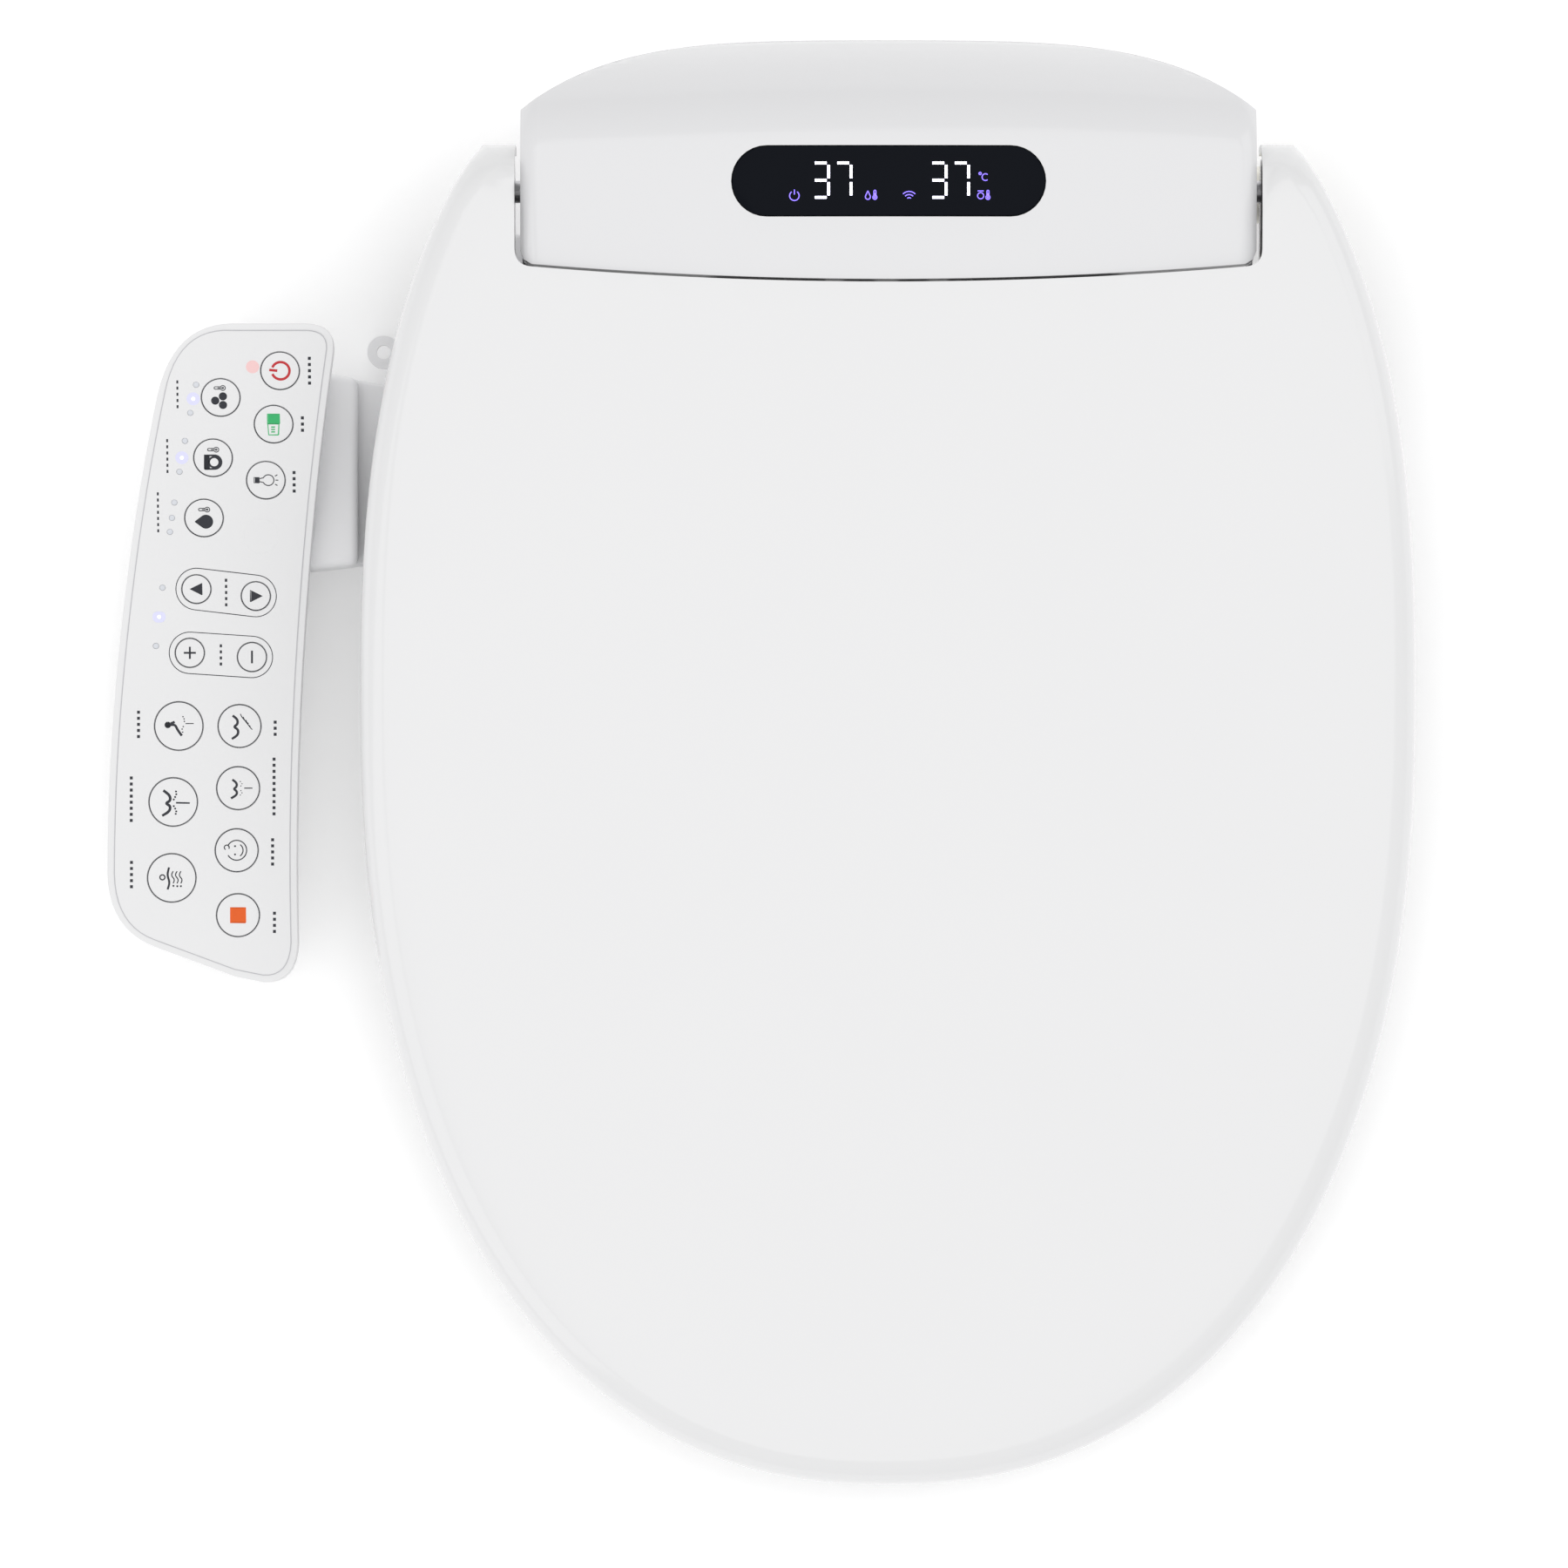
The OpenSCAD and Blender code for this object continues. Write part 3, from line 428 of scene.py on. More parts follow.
finish_piece(lid, "lid", "lid_white", finishes["lid_white"], "lid")
print("lid faces:", len(lid.data.polygons))

# %% [markdown]
# The top cover is a dome about the hinge axis, so that the lid's edge can sweep over it. It is
# pulled from side to side as a tunnel, then trimmed to its plan with a boolean, which leaves the
# crisp seam beside the lid. A small bevel softens that seam as a mould would.

# %% Top cover
TOP_LINE = [(-64, 44.1), (14, 52.2)]
TOP_SLOPE = (TOP_LINE[1][1] - TOP_LINE[0][1]) / (TOP_LINE[1][0] - TOP_LINE[0][0])
COVER_SIDE = [(-64, -8), TOP_LINE[0]] + curve(TOP_LINE[1], (38, 53), (54.5, 8), 20) + [(54.5, -8)]
DOME_R, DOME_CROWN, SIDE_ROLL, SIDE_ROLL_W = 52, 0.126, 0.05, 6
REAR_BOW = 27


def cover_share(x):
    """The dome's share of its full size about the hinge axis: 1 at its middle, less at its sides."""
    roll = max(0, abs(x) - BODY_W + SIDE_ROLL_W) / SIDE_ROLL_W
    return 1 - DOME_CROWN * (x / BODY_W) ** 2 - SIDE_ROLL * roll ** 2


def housing_plan(inset):
    half, front = BODY_W - inset, COVER_FRONT + inset
    line = [(x, cover_edge(x) + inset) for x in [(half - 4) * k / 24 for k in range(-24, 25)]]
    line += [(half - 1.2, front + 1.4), (half, front + 4.5)]
    for k in range(24, -25, -1):
        line.append((half * k / 24, BODY_REAR - inset - REAR_BOW * (k / 24) ** 4))
    line += [(-half, front + 4.5), (-half + 1.2, front + 1.4)]
    return line


def cover_block(name, inset):
    shares = [-1, -0.99, -0.98, -0.965] + [k / 20 for k in range(-19, 20)] + [0.965, 0.98, 0.99, 1]
    rings = []
    for u in shares:
        f = cover_share(u * BODY_W) - inset / DOME_R
        rings.append([(u * (BODY_W + 0.5 - 0.5 * abs(u)), HINGE_Y + f * y, HINGE_Z + f * z)
                      for y, z in COVER_SIDE])
    tunnel = pull_rings(name, rings)
    trim = prism("trim", housing_plan(inset), SEAM_Z - min(inset, 1), ABOVE)
    keep(tunnel, trim)
    discard(trim)
    return tunnel


cover = cover_block("top_cover_shell", 0)
hollow = cover_block("hollow", WALL)
cut(cover, hollow)
discard(hollow)
DISPLAY_Y, DISPLAY_W, DISPLAY_D = 4.8, 112.0, 25.0


def stadium(width, depth, steps=16):
    """The window's outline: a bar with round ends."""
    line = []
    for k in range(steps + 1):
        a = -math.pi / 2 + math.pi * k / steps
        line.append(((width - depth) / 2 + depth / 2 * math.cos(a),
                     DISPLAY_Y + depth / 2 * math.sin(a)))
    return line + [(-x, 2 * DISPLAY_Y - y) for x, y in line]


DISPLAY_GAP, UNDER_TOP = 0.3, 90
window = prism("window", stadium(DISPLAY_W + DISPLAY_GAP, DISPLAY_D + DISPLAY_GAP), UNDER_TOP, ABOVE)
cut(cover, window)
discard(window)
soften(cover, 0.0008, 3, 50)
smooth(cover, 40)
finish_piece(cover, "root", "cover_white", finishes["cover_white"], "top_cover")

lens = cover_block("display_window", 0.0)
lens_cut = prism("lens_cut", stadium(DISPLAY_W - DISPLAY_GAP, DISPLAY_D - DISPLAY_GAP), UNDER_TOP, ABOVE)
keep(lens, lens_cut)
under = cover_block("under", 2.2)
cut(lens, under)
discard(lens_cut, under)
soften(lens, 0.0004, 2, 50)
smooth(lens, 40)
finish_piece(lens, "root", "display_black", finishes["display_black"], "display_lens")
print("cover faces:", len(cover.data.polygons))

# %% [markdown]
# The seat has two shells. The upper one is a soft ring with a crowned top, pulled round the
# opening from the inner wall over the top to the outer wall.

# %% Seat
SEAT_IN, SEAT_WALL, SEAT_SPLIT_Z, SEAT_EDGE = 6.5, 3, 20, 7
HOLE_W, HOLE_LEN, SEAT_NOSE = 104, 150, 46
SEAT_FRONT = MID_Y - FRONT + SEAT_IN
SEAT_MID = SEAT_FRONT + SEAT_NOSE + HOLE_LEN
SEAT_REAR = -66.0
SEAT_ARM_IN, SEAT_ARM_OUT = 134.2, 141.2


def seat_top_z(y):
    return 37 + 13 * (y - SEAT_FRONT) / (SEAT_REAR - SEAT_FRONT)


def seat_point(turn, inset, w):
    """A place on the seat: w is 0 at the wall of its opening and 1 at its outer wall."""
    ix = (HOLE_W + inset) * signed_power(math.cos(turn), 2.2)
    iy = SEAT_MID + (HOLE_LEN + inset) * signed_power(math.sin(turn), 2.1)
    ox, oy = plan(turn, SEAT_IN + inset)
    oy = min(oy, SEAT_REAR - inset)
    return ix + w * (ox - ix), iy + w * (oy - iy)


def seat_ring(inset, w, drop=None, level=None):
    ring = []
    for i in range(AROUND):
        x, y = seat_point(2 * math.pi * i / AROUND, inset, w)
        ring.append((x, y, seat_top_z(y) - drop if level is None else level))
    return ring


steps = [0.02, 0.06, 0.12, 0.2, 0.35, 0.5, 0.65, 0.8, 0.88, 0.94, 0.98]
seat_rings = [seat_ring(0, 0, level=SEAT_SPLIT_Z), seat_ring(0, 0, SEAT_EDGE)]
seat_rings += [seat_ring(0, w, 6 * abs(2 * w - 1) ** 8) for w in steps]
seat_rings += [seat_ring(0, 1, SEAT_EDGE), seat_ring(0, 1, level=SEAT_SPLIT_Z)]
seat_rings += [seat_ring(SEAT_WALL, 1, level=SEAT_SPLIT_Z), seat_ring(SEAT_WALL, 1, SEAT_EDGE + 2)]
seat_rings += [seat_ring(SEAT_WALL, 0.5, 3), seat_ring(SEAT_WALL, 0, SEAT_EDGE + 2)]
seat_rings += [seat_ring(SEAT_WALL, 0, level=SEAT_SPLIT_Z)]
seat = pull_rings("seat_upper_shell", seat_rings + [seat_rings[0]], closed=True)
soften(seat, 0.0006, 2, 60)
smooth(seat, 40)
arms = []
for side in (-1, 1):
    outline = [(HINGE_Y + HUB_R * math.cos(a), HINGE_Z + HUB_R * math.sin(a))
               for a in [math.radians(-115 + 225 * k / 24) for k in range(25)]]
    outline += [(SEAT_REAR - 6, 44), (SEAT_REAR - 6, 23), (SEAT_REAR + 14, 23)]
    arm = pull_rings("seat_arm", [[(side * x, y, z) for y, z in outline]
                                  for x in (SEAT_ARM_IN, SEAT_ARM_OUT)])
    pin = pull_rings("pin", [[(side * x, HINGE_Y + PIN_R * math.cos(t), HINGE_Z + PIN_R * math.sin(t))
                              for t in [2 * math.pi * k / 32 for k in range(32)]] for x in (130, 145)])
    cut(arm, pin)
    discard(pin)
    soften(arm, 0.0008, 2, 50)
    smooth(arm, 40)
    arms.append(arm)
pick(seat)
for arm in arms:
    arm.select_set(True)
bpy.ops.object.join()
finish_piece(seat, "seat", "seat_white", finishes["seat_white"], "seat_top")

SEAT_STEP, SEAT_LOW_Z = 0.6, 17
lower_rings = [seat_ring(SEAT_STEP, w, level=z) for w, z in
               ((0, SEAT_SPLIT_Z), (1, SEAT_SPLIT_Z), (1, SEAT_LOW_Z), (0, SEAT_LOW_Z))]
seat_base = pull_rings("seat_lower_shell", lower_rings + [lower_rings[0]], closed=True)
soften(seat_base, 0.0008, 3, 50)
smooth(seat_base, 40)
finish_piece(seat_base, "seat", "seat_white", finishes["seat_white"], "seat_bottom")
print("seat faces:", len(seat.data.polygons))

# %% [markdown]
# The control panel is a long case that bends in plan round the lid, and rises at its rear half.
# Its side view is drawn once and pulled across the width, then trimmed to the plan. Its film is a
# second, thinner layer, a little smaller than the case, so that a fine step shows round it.

# %% The rules of the panel
BEND_Y, BEND_S, TILT, PANEL_Z, PANEL_REAR = -150.0, 10.0, math.tan(math.radians(16)), 32.0, -43.2


def in_x(y):
    return -213.7 + 4.2e-4 * (y + 235) ** 2


def out_x(y):
    return -282.3 + 6.4e-4 * (y + 240.8) ** 2


def panel_top(y):
    return PANEL_Z + TILT * BEND_S * math.log(1 + math.exp((y - BEND_Y) / BEND_S))


def panel_angle(y):
    return math.atan(TILT / (1 + math.exp(-(y - BEND_Y) / BEND_S)))


def panel_plan(i):
    line = [(in_x(y) - i, y) for y in [-256 + 202 * k / 20 for k in range(20)]]
    line += curve((in_x(-54) - i, -54), (in_x(PANEL_REAR) - i, PANEL_REAR - i), (-209.5, PANEL_REAR - i))
    line += curve((-236, PANEL_REAR - i), (-257 + i / 2, PANEL_REAR - i / 2), (out_x(-68) + i, -68), 12)
    line += [(out_x(y) + i, y) for y in [-76 - 162 * k / 18 for k in range(19)]]
    line += curve((out_x(-241) + i, -241), (-282 + i, -261 + i / 2), (-265, -267.5 + i), 10)
    line += [(-236, -278.2 + i)]
    return line + curve((-226, -280.2 + i), (-213.9 - i, -281 + i), (in_x(-266) - i, -266))


def panel_layer(name, inset, top, bottom):
    ys = [-294 + 3 * k for k in range(89)]
    side = [(y, panel_top(y) + top) for y in ys] + [(y, panel_top(y) + bottom) for y in reversed(ys)]
    band = pull_rings(name, [[(x, y, z) for y, z in side] for x in (-300, -190)])
    trim = prism("trim", panel_plan(inset), -20, 120)
    keep(band, trim)
    discard(trim)
    return band


KEYS = {
    "power": (-219, -60, 7.2), "eco": (-221.5, -79, 7.2), "light": (-224.5, -99, 7.2),
    "dry_temp": (-240.5, -69.5, 7.2), "seat_temp": (-243.5, -91, 7.2), "water_temp": (-247, -112.5, 7.2),
    "position_up": (-250, -138, 5.5), "position_down": (-228.5, -140.5, 5.5),
    "flow_up": (-252.5, -161, 5.5), "flow_down": (-230, -162.5, 5.5),
    "bidet": (-256.5, -187.5, 9), "shower": (-258.5, -215, 9), "auto": (-259, -242.5, 9),
    "dry": (-234.5, -187.5, 8), "turbo": (-235, -210, 8), "child": (-235.5, -232.5, 8),
    "stop": (-235, -256, 8)}


def on_panel(x, y):
    """A frame on the panel's surface, in millimetres: its Z points out of the panel."""
    return Matrix.Translation((x, y, panel_top(y))) @ Matrix.Rotation(panel_angle(y), 4, "X")


def disc_rings(profile, spot, count=48):
    return [[spot @ Vector((r * math.cos(2 * math.pi * k / count), r * math.sin(2 * math.pi * k / count), z))
             for k in range(count)] for r, z in profile]


# %% [markdown]
# The panel is two shells with a printed film on top. The case's edge is rounded by a wide bevel,
# the film ends a little inside it, and each key and lamp looks out through its own round hole.

# %% Panel case and film
CASE_TOP, CASE_SPLIT, CASE_BOTTOM, FILM_THICK, FILM_INSET = -0.15, -7, -15, 0.3, 2.7
case = panel_layer("panel_upper_case", 0, CASE_TOP, CASE_SPLIT)
soften(case, 0.0016, 4, 50)
hollow = panel_layer("hollow", 2, -2, CASE_SPLIT - 1)
cut(case, hollow)
discard(hollow)
film = panel_layer("panel_film", FILM_INSET, 0.0, -FILM_THICK)
LED_YS = [-65, -70, -75, -85, -91, -96, -107, -112.5, -117.5, -137.5, -148, -158.5]
LED_IN, LED_R, LED_HOLE, KEY_GAP = 13.2, 1.05, 1.12, 0.07
DRILL_LOW, DRILL_HIGH = -12, 3
holes = [disc_rings([(r + KEY_GAP, DRILL_LOW), (r + KEY_GAP, DRILL_HIGH)], on_panel(x, y))
         for x, y, r in KEYS.values()]
holes += [disc_rings([(LED_HOLE, DRILL_LOW), (LED_HOLE, DRILL_HIGH)], on_panel(out_x(y) + LED_IN, y), 16)
          for y in LED_YS]
cutters = [pull_rings("hole", rings) for rings in holes]
pick(cutters[0])
for cutter in cutters:
    cutter.select_set(True)
bpy.ops.object.join()
cut(case, cutters[0])
cut(film, cutters[0])
discard(cutters[0])
# The film ends a little inside the case's edge, and shows there as a fine grey line
FILM_EDGE = panel_plan(2.5)
for thing, name in ((case, "panel_top_case"), (film, None)):
    smooth(thing, 35)
    finish_piece(thing, "root", "panel_white", finishes["panel_white"], *([name] if name else []))

lower = panel_layer("panel_lower_case", 0, CASE_SPLIT - 0.25, CASE_BOTTOM)
soften(lower, 0.0022, 4, 50)
lug = panel_layer("panel_lug", 1.5, -14, -60)
lug_trim = prism("lug_trim", [(-250, -150), (-190, -150), (-190, -60), (-250, -60)], 2, 80)
keep(lug, lug_trim)
discard(lug_trim)
soften(lug, 0.0015, 3, 50)
pick(lower)
lug.select_set(True)
bpy.ops.object.join()
smooth(lower, 35)
finish_piece(lower, "root", "panel_white", finishes["panel_white"], "panel_bottom_case")

ARM = [(-131.7, -23), (-131.7, -8), (-139, -8), (-147, -44), (-160, -67), (-206, -58.5),
       (-208, -80), (-211, -131), (-184, -128), (-160, -100), (-139, -60)]
arm = prism("panel_arm_channel", ARM, 2, 13)
soften(arm, 0.0015, 3, 50)
riser = prism("arm_riser", [(-192, -61), (-206, -58.5), (-208, -80), (-211, -131), (-192, -128.8)], 12, 26)
soften(riser, 0.003, 4, 50)
pick(arm)
riser.select_set(True)
bpy.ops.object.join()
smooth(arm, 35)
# The arm takes the housing white, whose raised lightness is painted light against the lid's shade.
finish_piece(arm, "root", "housing_white", finishes["housing_white"], "panel_arm")
print("panel faces:", len(case.data.polygons) + len(film.data.polygons))

# %% [markdown]
# Printed graphics are thin strokes of ink. Each is drawn as a poly curve with a round bevel,
# turned into a mesh, pressed nearly flat and laid on the surface that it is printed on. The words
# of a real panel are left out; short bars stand in their place.

# %% Ink
def arc(cx, cy, r, start=0, end=360, n=20):
    return [(cx + r * math.cos(math.radians(start + (end - start) * k / n)),
             cy + r * math.sin(math.radians(start + (end - start) * k / n))) for k in range(n + 1)]


def ink(name, strokes, width, where, body, slot, material, height=0.035):
    data = bpy.data.curves.new(name, "CURVE")
    data.dimensions = "3D"
    data.bevel_depth, data.bevel_resolution = width / 2, 1
    data.use_fill_caps = True
    for stroke in strokes:
        spline = data.splines.new("POLY")
        spline.points.add(len(stroke) - 1)
        for point, (u, v) in zip(spline.points, stroke):
            point.co = (u, v, 0, 1)
    thing = bpy.data.objects.new(name, data)
    bpy.context.scene.collection.objects.link(thing)
    pick(thing)
    bpy.ops.object.convert(target="MESH")
    thing = bpy.context.object
    for vertex in thing.data.vertices:
        u, v, w = vertex.co
        vertex.co = where(u, v, w / (width / 2) * height) * MM
    smooth(thing, 60)
    finish_piece(thing, body, slot, material)
    return thing


def key_place(x, y, depth=0.0):
    """Graphics on the panel are turned a quarter, to read from the front to the rear."""
    spot = on_panel(x, y)
    return lambda u, v, w: spot @ Vector((-v, u, w + depth))


def film_place(x, y):
    """As key_place, but it follows the film's bend point by point."""
    return lambda u, v, w: Vector((x - v, y + u, panel_top(y + u) + w))


def split(strokes, n=6):
    made = []
    for stroke in strokes:
        line = [stroke[0]]
        for (a, b), (c, d) in zip(stroke, stroke[1:]):
            line += [(a + (c - a) * k / n, b + (d - b) * k / n) for k in range(1, n + 1)]
        made.append(line)
    return made


def dashes(v, count, shift=0.0, pitch=2.2, length=1.1):
    """A row of short dashes that stands for a word."""
    start = shift - pitch * (count - 1) / 2 - length / 2
    return [[(start + pitch * k, v), (start + pitch * k + length, v)] for k in range(count)]


def filled(outline, step=0.24):
    """Strokes that fill an outline from side to side."""
    low, high = min(v for _, v in outline), max(v for _, v in outline)
    strokes = [outline + outline[:1]]
    for k in range(1, int((high - low) / step)):
        v = low + step * k
        hits = []
        for (a, b), (c, d) in zip(outline, outline[1:] + outline[:1]):
            if (b > v) != (d > v):
                hits.append(a + (c - a) * (v - b) / (d - b))
        hits.sort()
        strokes += [[(p, v), (q, v)] for p, q in zip(hits[::2], hits[1::2])]
    return strokes


def disc(u, v, r):
    return filled(arc(u, v, r, 0, 345, 23))


def dots(places, r=0.12):
    return [arc(u, v, r, 0, 360, 6) for u, v in places]


def thermometer(u, v, s=1.0):
    stem = [(u + s * a, v + s * b) for a, b in ((-0.45, 0.8), (-0.45, 2.7))]
    other = [(u + s * a, v + s * b) for a, b in ((0.45, 2.7), (0.45, 0.8))]
    bulb, cap = arc(u, v, 0.9 * s, 120, 420, 16), arc(u, v + 2.7 * s, 0.45 * s, 0, 180, 6)
    return [bulb + other[::-1] + cap + stem[::-1], [(u, v), (u, v + 1.9 * s)],
            arc(u, v, 0.3 * s, 0, 360, 8)]


def drop(u, v, r, reach):
    return [(u, v + reach)] + arc(u, v, r, 25, -205, 20)


def ripple(points, n=6):
    """A smooth line through points, by their midpoints."""
    line = [points[0]]
    middles = [((a + c) / 2, (b + d) / 2) for (a, b), (c, d) in zip(points, points[1:])]
    for start, corner, end in zip(middles, points[1:-1], middles[1:]):
        line += curve(start, corner, end, n)
    return line + [points[-1]]


BATTERY = [(-4.0, -1.7), (0.1, -1.9), (0.1, 2.1), (-4.0, 1.8)]
SEAT_SHAPE = [(-4.2, 3.0), (0.9, 3.0)] + arc(-1.65, -0.5, 2.5, 0, -180, 18)
TRIANGLE = [(-2.1, -2.0), (2.1, -2.0), (0, 2.3)]
DARK, THIN = "print_dark", 0.34
# Each key's marks: the ink, the strokes across and up in millimetres, and how thick they are
ICONS = {
    "power": [("print_red", [arc(0, -0.2, 3.2, 112, 428, 30), [(0.3, 3.9), (0, 1.0)]], 0.95)],
    "eco": [("print_green", [BATTERY + BATTERY[:1]]
             + filled([(0.1, -2.1), (3.7, -2.1), (3.7, 2.2), (0.1, 2.2)])
             + [[(u, -0.5), (u, 0.9)] for u in (-2.9, -2.0, -1.1)], 0.5)],
    "light": [(DARK, [[(0.55, 2.2), (0.75, 1.5)] + arc(0, -0.9, 2.0, 65, -245, 24)
                      + [(-0.75, 1.5), (-0.55, 2.2)]]
               + [[(1.5, -3.3), (2.0, -4.2)], [(0, -3.5), (0, -4.5)], [(-1.5, -3.3), (-2.0, -4.2)]], 0.38),
              (DARK, filled([(-1.0, 2.4), (1.0, 2.4), (1.0, 4.3), (-1.0, 4.3)]), 0.34)],
    "dry_temp": [(DARK, disc(-1.2, 2.0, 1.3) + disc(0.4, -0.8, 1.3) + disc(-2.8, -0.8, 1.3), 0.4),
                 (DARK, thermometer(3.5, -0.8), THIN)],
    "seat_temp": [(DARK, [arc(-1.65, -0.4, 1.9), SEAT_SHAPE + SEAT_SHAPE[:1]]
                   + filled([(-4.1, 1.5), (0.8, 1.5), (0.8, 3.0), (-4.1, 3.0)]), 0.75),
                  (DARK, thermometer(3.0, -1.2), THIN)],
    "water_temp": [(DARK, filled(drop(-1.4, -0.7, 2.4, 3.9)), 0.4), (DARK, thermometer(3.1, -1.2), THIN)],
    "position_up": [(DARK, filled(TRIANGLE), 0.4)],
    "position_down": [(DARK, filled([(u, -v) for u, v in TRIANGLE]), 0.4)],
    "flow_up": [(DARK, [[(-2.2, 0), (2.2, 0)], [(0, -2.2), (0, 2.2)]], 0.7)],
    "flow_down": [(DARK, [[(-2.3, 0), (2.3, 0)]], 0.7)],
    "bidet": [(DARK, disc(0.4, 4.0, 0.75) + [ripple([(0.4, 3.2), (0.5, 1.3), (-1.2, 0.6), (-3.5, -1.1)]),
                                             [(0.9, 2.9), (1.5, 1.5)]], 0.9),
              (DARK, dots([(3.4, -1.5), (2.6, -1.9), (1.7, -2.0), (-0.2, -1.6), (-1.1, -1.2), (-2.2, -1.4)])
               + [[(0.9, -2.4), (0.9, -5.4)]], THIN)],
    "shower": [(DARK, [ripple([(4.2, 3.6), (2.4, 1.2), (0.4, 1.0), (-0.5, 2.9), (-1.4, 1.0), (-3.4, 1.3),
                               (-5.0, 4.0)])], 1.0),
               (DARK, dots([(3.8, -1.0), (2.8, -1.1), (1.8, -0.7), (0.9, -0.2), (-1.5, -0.2), (-2.4, -0.7),
                            (-3.4, -1.1), (-4.3, -0.9)], 0.2), 0.4),
               (DARK, [[(-0.3, -1.0), (-0.4, -6.0)]], 0.6)],
    "auto": [(DARK, [arc(0.2, 3.4, 0.9)], 0.5),
             (DARK, [ripple([(3.8, 1.0), (1.0, 1.7), (-1.6, 0.7), (-4.2, 1.5)])], 0.75),
             (DARK, [ripple([(2.4, v), (0.9, v + 0.8), (-0.6, v - 0.6), (-2.0, v)])
                     for v in (-0.5, -1.9, -3.3)]
              + dots([(-2.9, -0.6), (-3.0, -2.0), (-3.0, -3.3)], 0.2), 0.42)],
    "dry": [(DARK, [ripple([(3.8, 2.5), (2.4, 0.7), (0.6, 0.7), (-0.3, 2.2), (-1.2, 0.5), (-3.2, 0.5),
                            (-4.7, 2.8)])], 0.9),
            (DARK, [curve((4.4 - s, -0.3 - 0.9 * s), (2.2 - s, -1.2 - 0.9 * s), (0.9 - s, -3.3 - 0.6 * s))
                    for s in (0, 1.1, 2.2)], THIN)],
    "turbo": [(DARK, [ripple([(3.1, 2.1), (1.9, 0.5), (0.5, 0.5), (-0.3, 1.7), (-1.1, 0.4), (-2.5, 0.5),
                              (-3.7, 2.6)])], 0.85),
              (DARK, dots([(2.4, -0.8), (1.6, -1.4), (0.8, -1.0), (-0.9, -1.0), (-1.7, -1.4),
                           (-2.5, -0.8)], 0.1), 0.26),
              (DARK, [[(0, -2.2), (0, -5.2)]], 0.42)],
    "child": [(DARK, [arc(0, 0, 3.6, 120, 425, 32), arc(0, 0.2, 2.5, 215, 325, 12),
                      arc(1.0, 3.6, 0.9, -120, 150, 12)]
               + dots([(1.5, 0.6), (-1.5, 0.6)], 0.18), 0.42)],
    "stop": [("print_orange", filled([(-2.7, -2.7), (2.7, -2.7), (2.7, 2.7), (-2.7, 2.7)]), 0.5)]}

# The dashes beside each key: how far up from its centre, how many, and how far along
LABELS = {
    "power": (-10.6, 5, 0.0), "eco": (-10.4, 3, 0.0), "light": (-10.2, 4, -0.6),
    "dry_temp": (15.6, 5, 1.1), "seat_temp": (16.5, 6, 0.6), "water_temp": (16.6, 7, 2.0),
    "bidet": (14.6, 5, 0.6), "shower": (15.2, 8, 1.0), "auto": (14.6, 5, 1.2), "dry": (-12.9, 3, -0.8),
    "turbo": (-13.0, 10, 0.6), "child": (-13.0, 5, -0.6), "stop": (-13.2, 4, -2.6)}

# %% [markdown]
# A key is a low disc with a rim below, that keeps it in the case. Its ring and its mark are
# printed on the cap, so they belong to the key's body and move with it when it is pressed.

# %% Keys
for name, (x, y, r) in KEYS.items():
    spot = on_panel(x, y)
    profile = [(r + 0.9, -4), (r + 0.9, -3), (r, -2.9), (r, -0.3), (r - 0.12, -0.06), (r - 0.3, 0.0),
               (r * 0.8, 0.01), (r * 0.5, 0.0), (r * 0.2, -0.01)]
    cap = pull_rings("keycap_" + name, disc_rings(profile, spot))
    smooth(cap, 50)
    finish_piece(cap, "key_" + name, "key_white", finishes["key_white"], "key_" + name)
    place = key_place(x, y)
    for part, (slot, strokes, width) in enumerate(ICONS[name]):
        ink("icon_%s_%d" % (name, part), strokes, width, place, "key_" + name, slot, finishes[slot])
    ink("ring_" + name, [arc(0, 0, r - 0.3, 0, 360, 60)], 0.34, place, "key_" + name,
        "print_dark", finishes["print_dark"])
    if name in LABELS:
        offset, count, shift = LABELS[name]
        thick = 0.7 if name.endswith("temp") else 1.1
        ink("label_" + name, dashes(offset, count, shift), thick, film_place(x, y), "root",
            "print_dark", finishes["print_dark"])

# %% [markdown]
# Two pairs of keys share a rounded outline, which is printed on the fixed film. The lamps are
# small frosted domes beside the keys. Three of them are lit.

# %% Pills, lamps and marks on the film
PILL_R = 7.5
for row in ("position", "flow"):
    ax, ay = KEYS[row + "_up"][:2]
    bx, by = KEYS[row + "_down"][:2]
    place = film_place((ax + bx) / 2, (ay + by) / 2)
    reach = (bx - ax) / 2
    tilt = math.atan2(by - ay, bx - ax)
    outline = arc(0, reach, PILL_R, 0, 180, 20) + arc(0, -reach, PILL_R, 180, 360, 20)
    outline.append(outline[0])
    turned = [(u * math.cos(tilt) - v * math.sin(tilt), u * math.sin(tilt) + v * math.cos(tilt))
              for u, v in split([outline], 3)[0]]
    ink("pill_" + row, [turned], 0.34, place, "root", "print_dark", finishes["print_dark"])
    ink("pill_words_" + row, dashes(0, 5 if row == "position" else 4), 0.9, place, "root",
        "print_dark", finishes["print_dark"])
lit = {-70: glow_blue, -91: glow_blue, -148: glow_blue}
for y in LED_YS:
    profile = [(LED_R, -2), (LED_R, -0.1), (0.9, 0.0), (0.5, 0.04), (0.2, 0.05)]
    led = pull_rings("led_%d" % round(-10 * y), disc_rings(profile, on_panel(out_x(y) + LED_IN, y), 20))
    smooth(led, 60)
    finish_piece(led, "root", "glow" if y in lit else "light_lens", lit.get(y, finishes["light_lens"]))
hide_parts("indicator_lights")
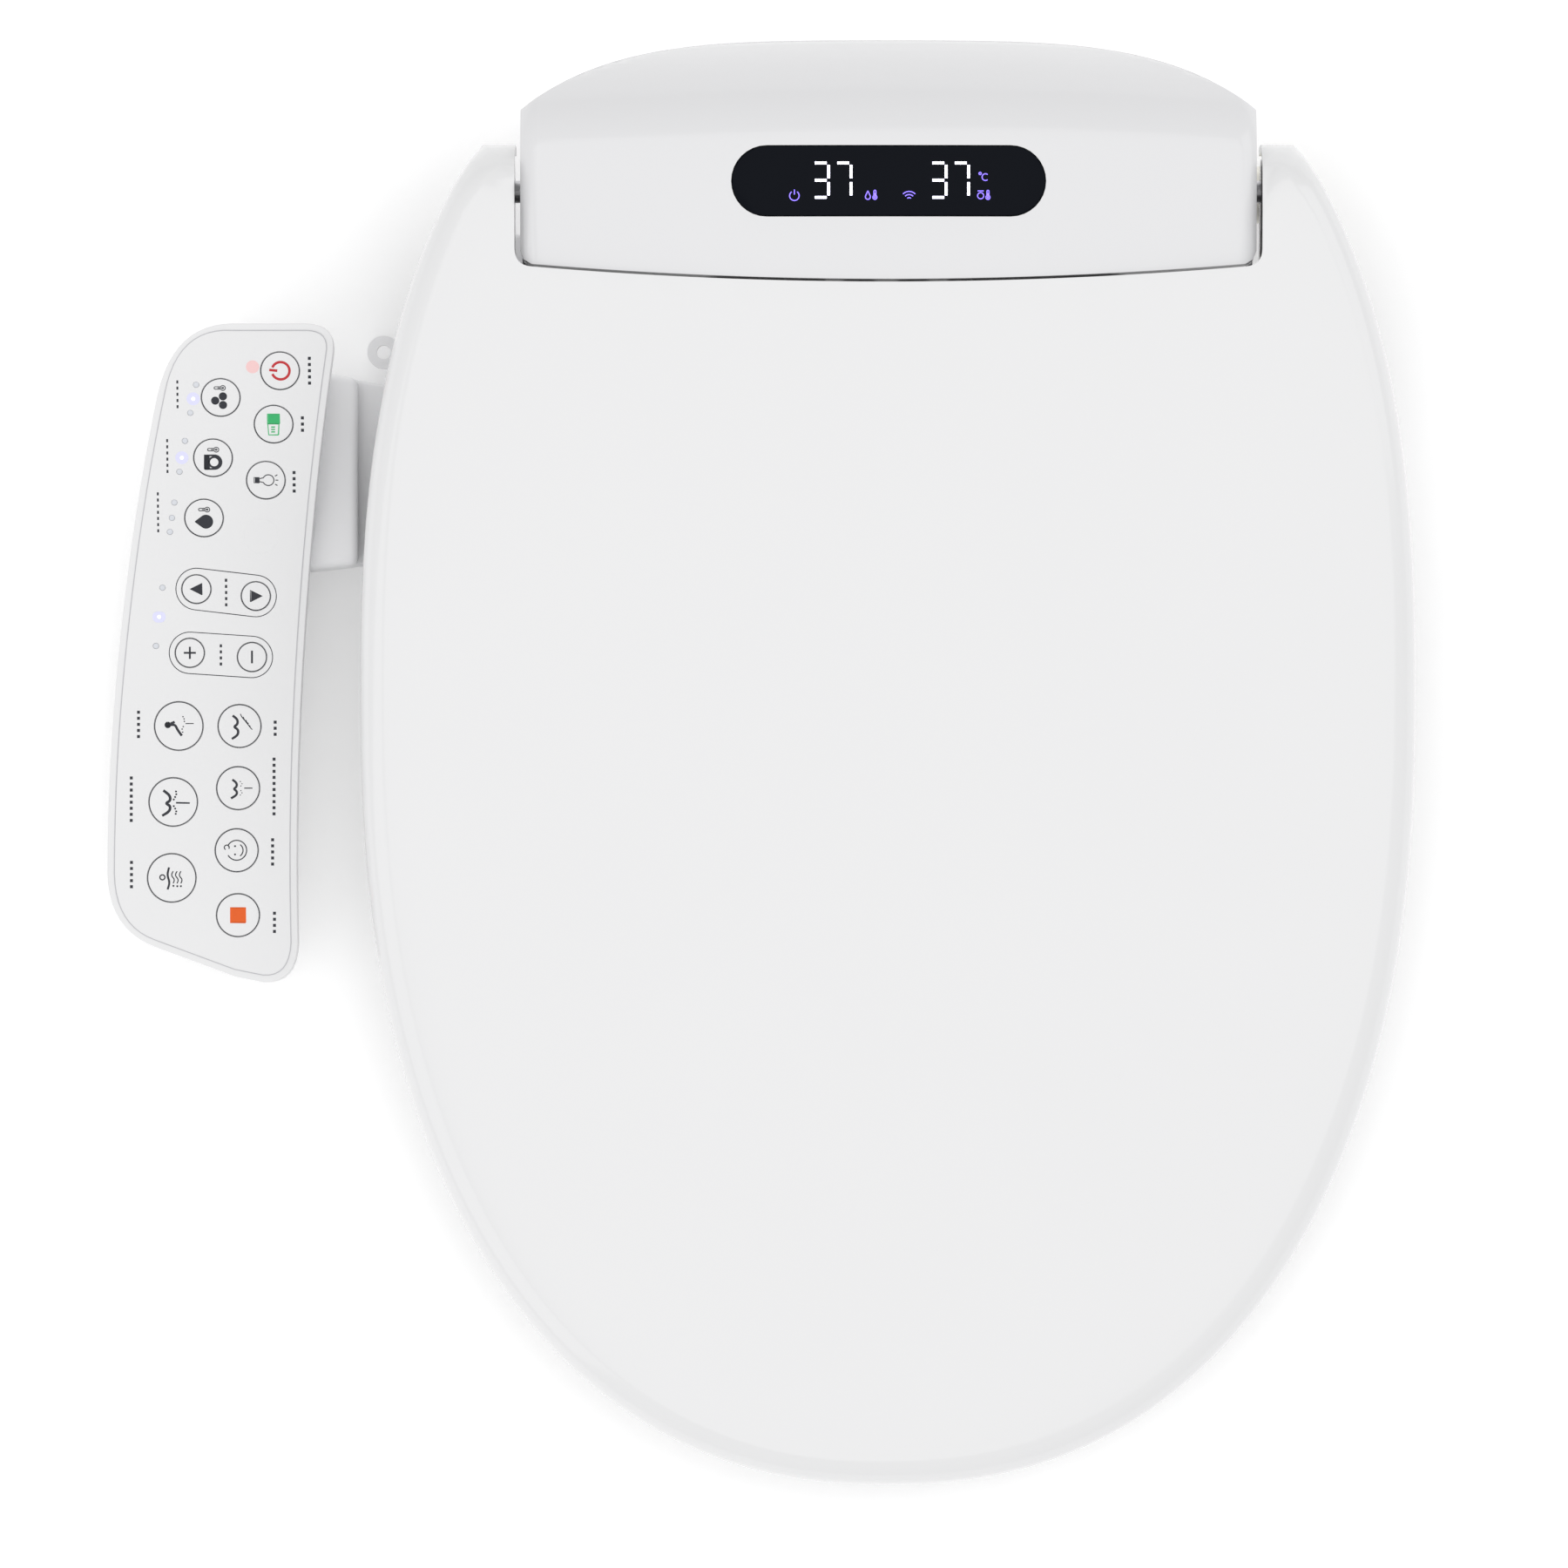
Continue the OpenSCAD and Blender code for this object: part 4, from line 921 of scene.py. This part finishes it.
# Light from a lit lamp spreads a little through the film round it
spread = [("halo_%d" % -y, out_x(y) + LED_IN, y, halo_blue) for y in lit]
spread += [("halo_red", -228.9, -58.6, halo_red)]
HALO = [(2.4, -0.1), (2.4, 0.012), (1.8, 0.022), (1.4, 0.025)]
for name, x, y, material in spread:
    halo = pull_rings(name, disc_rings(HALO, on_panel(x, y), 32))
    smooth(halo, 60)
    finish_piece(halo, "root", "glow", material)
ink("film_edge", [FILM_EDGE + FILM_EDGE[:1]], 0.3, lambda u, v, w: Vector((u, v, panel_top(v) + w)),
    "root", "inner_grey", finishes["inner_grey"])
ink("light_sensor_ring", [arc(0, 0, 6.2, 0, 360, 48)], 0.3, film_place(-226.4, -119), "root",
    "panel_white", finishes["panel_white"])

# %% [markdown]
# The display glows through the smoked window. Digits are built from seven segments, which any
# clock or scale uses, so they stay generic.

# %% Display
def window_place(x, y):
    def where(u, v, w):
        px, py = x + u, y + v
        f = cover_share(px)
        top = HINGE_Z + f * TOP_LINE[0][1] + TOP_SLOPE * (py - HINGE_Y - f * TOP_LINE[0][0])
        return Vector((px, py, top + w + 0.02))
    return where


SEGMENTS = {"3": "abcdg", "7": "abc"}


def digit(symbol, u, w=5.6, h=12.2, gap=0.7):
    half = h / 2
    lines = {"a": [(gap, h), (w - gap, h)], "b": [(w, h - gap), (w, half + gap)],
             "c": [(w, half - gap), (w, gap)], "d": [(gap, 0), (w - gap, 0)],
             "e": [(0, half - gap), (0, gap)], "f": [(0, h - gap), (0, half + gap)],
             "g": [(gap, half), (w - gap, half)]}
    return [[(u + a, b - half) for a, b in lines[s]] for s in SEGMENTS[symbol]]


for number, x in enumerate((-20.2, 21.7)):
    ink("digits_%d" % number, split(digit("3", -6.8) + digit("7", 1.2)), 0.95,
        window_place(x, DISPLAY_Y + 0.2), "root", "glow", glow_white, 0.03)
small = {
    "power_mark": (-33.6, [arc(0, 0, 1.7, 125, 415, 24), [(0, 2.2), (0, 0.4)]]),
    "water_mark": (-6.1, [drop(-1.3, -0.4, 0.9, 2.1) + [(-1.3, 1.7)]] + thermometer(1.2, -0.6, 0.8)),
    "signal_mark": (7.3, [arc(0, -1.6, radius, 45, 135, 10) for radius in (0.9, 2.0, 3.1)]),
    "warm_seat_mark": (34.2, [arc(-1.4, 0, 1.1), [(-2.5, 1.7), (-0.3, 1.7)]] + thermometer(1.2, -0.6, 0.8))}
for name, (x, strokes) in small.items():
    ink(name, strokes, 0.36, window_place(x, DISPLAY_Y - 5.3), "root", "glow", glow_violet, 0.03)
ink("degree_mark", [arc(-1.3, 1.3, 0.4), arc(0.6, 0, 1.2, 50, 310, 14)], 0.36,
    window_place(33.9, DISPLAY_Y + 1.3), "root", "glow", glow_violet, 0.03)

# %% [markdown]
# The floor is a plain white table top. It is only a backdrop, so it stays out of the part.

# %% Floor
clear_selection()
bpy.ops.mesh.primitive_grid_add(x_subdivisions=2, y_subdivisions=2, size=8, location=(0, 0, -0.0005))
floor = bpy.context.object
floor.name = "floor"
floor.data.materials.append(plastic("floor_white", (0.93, 0.93, 0.93), 0.6, 0.1, 200, 0.0,
                                    glow=(1, 1, 1), strength=0.16, drift=0.0))
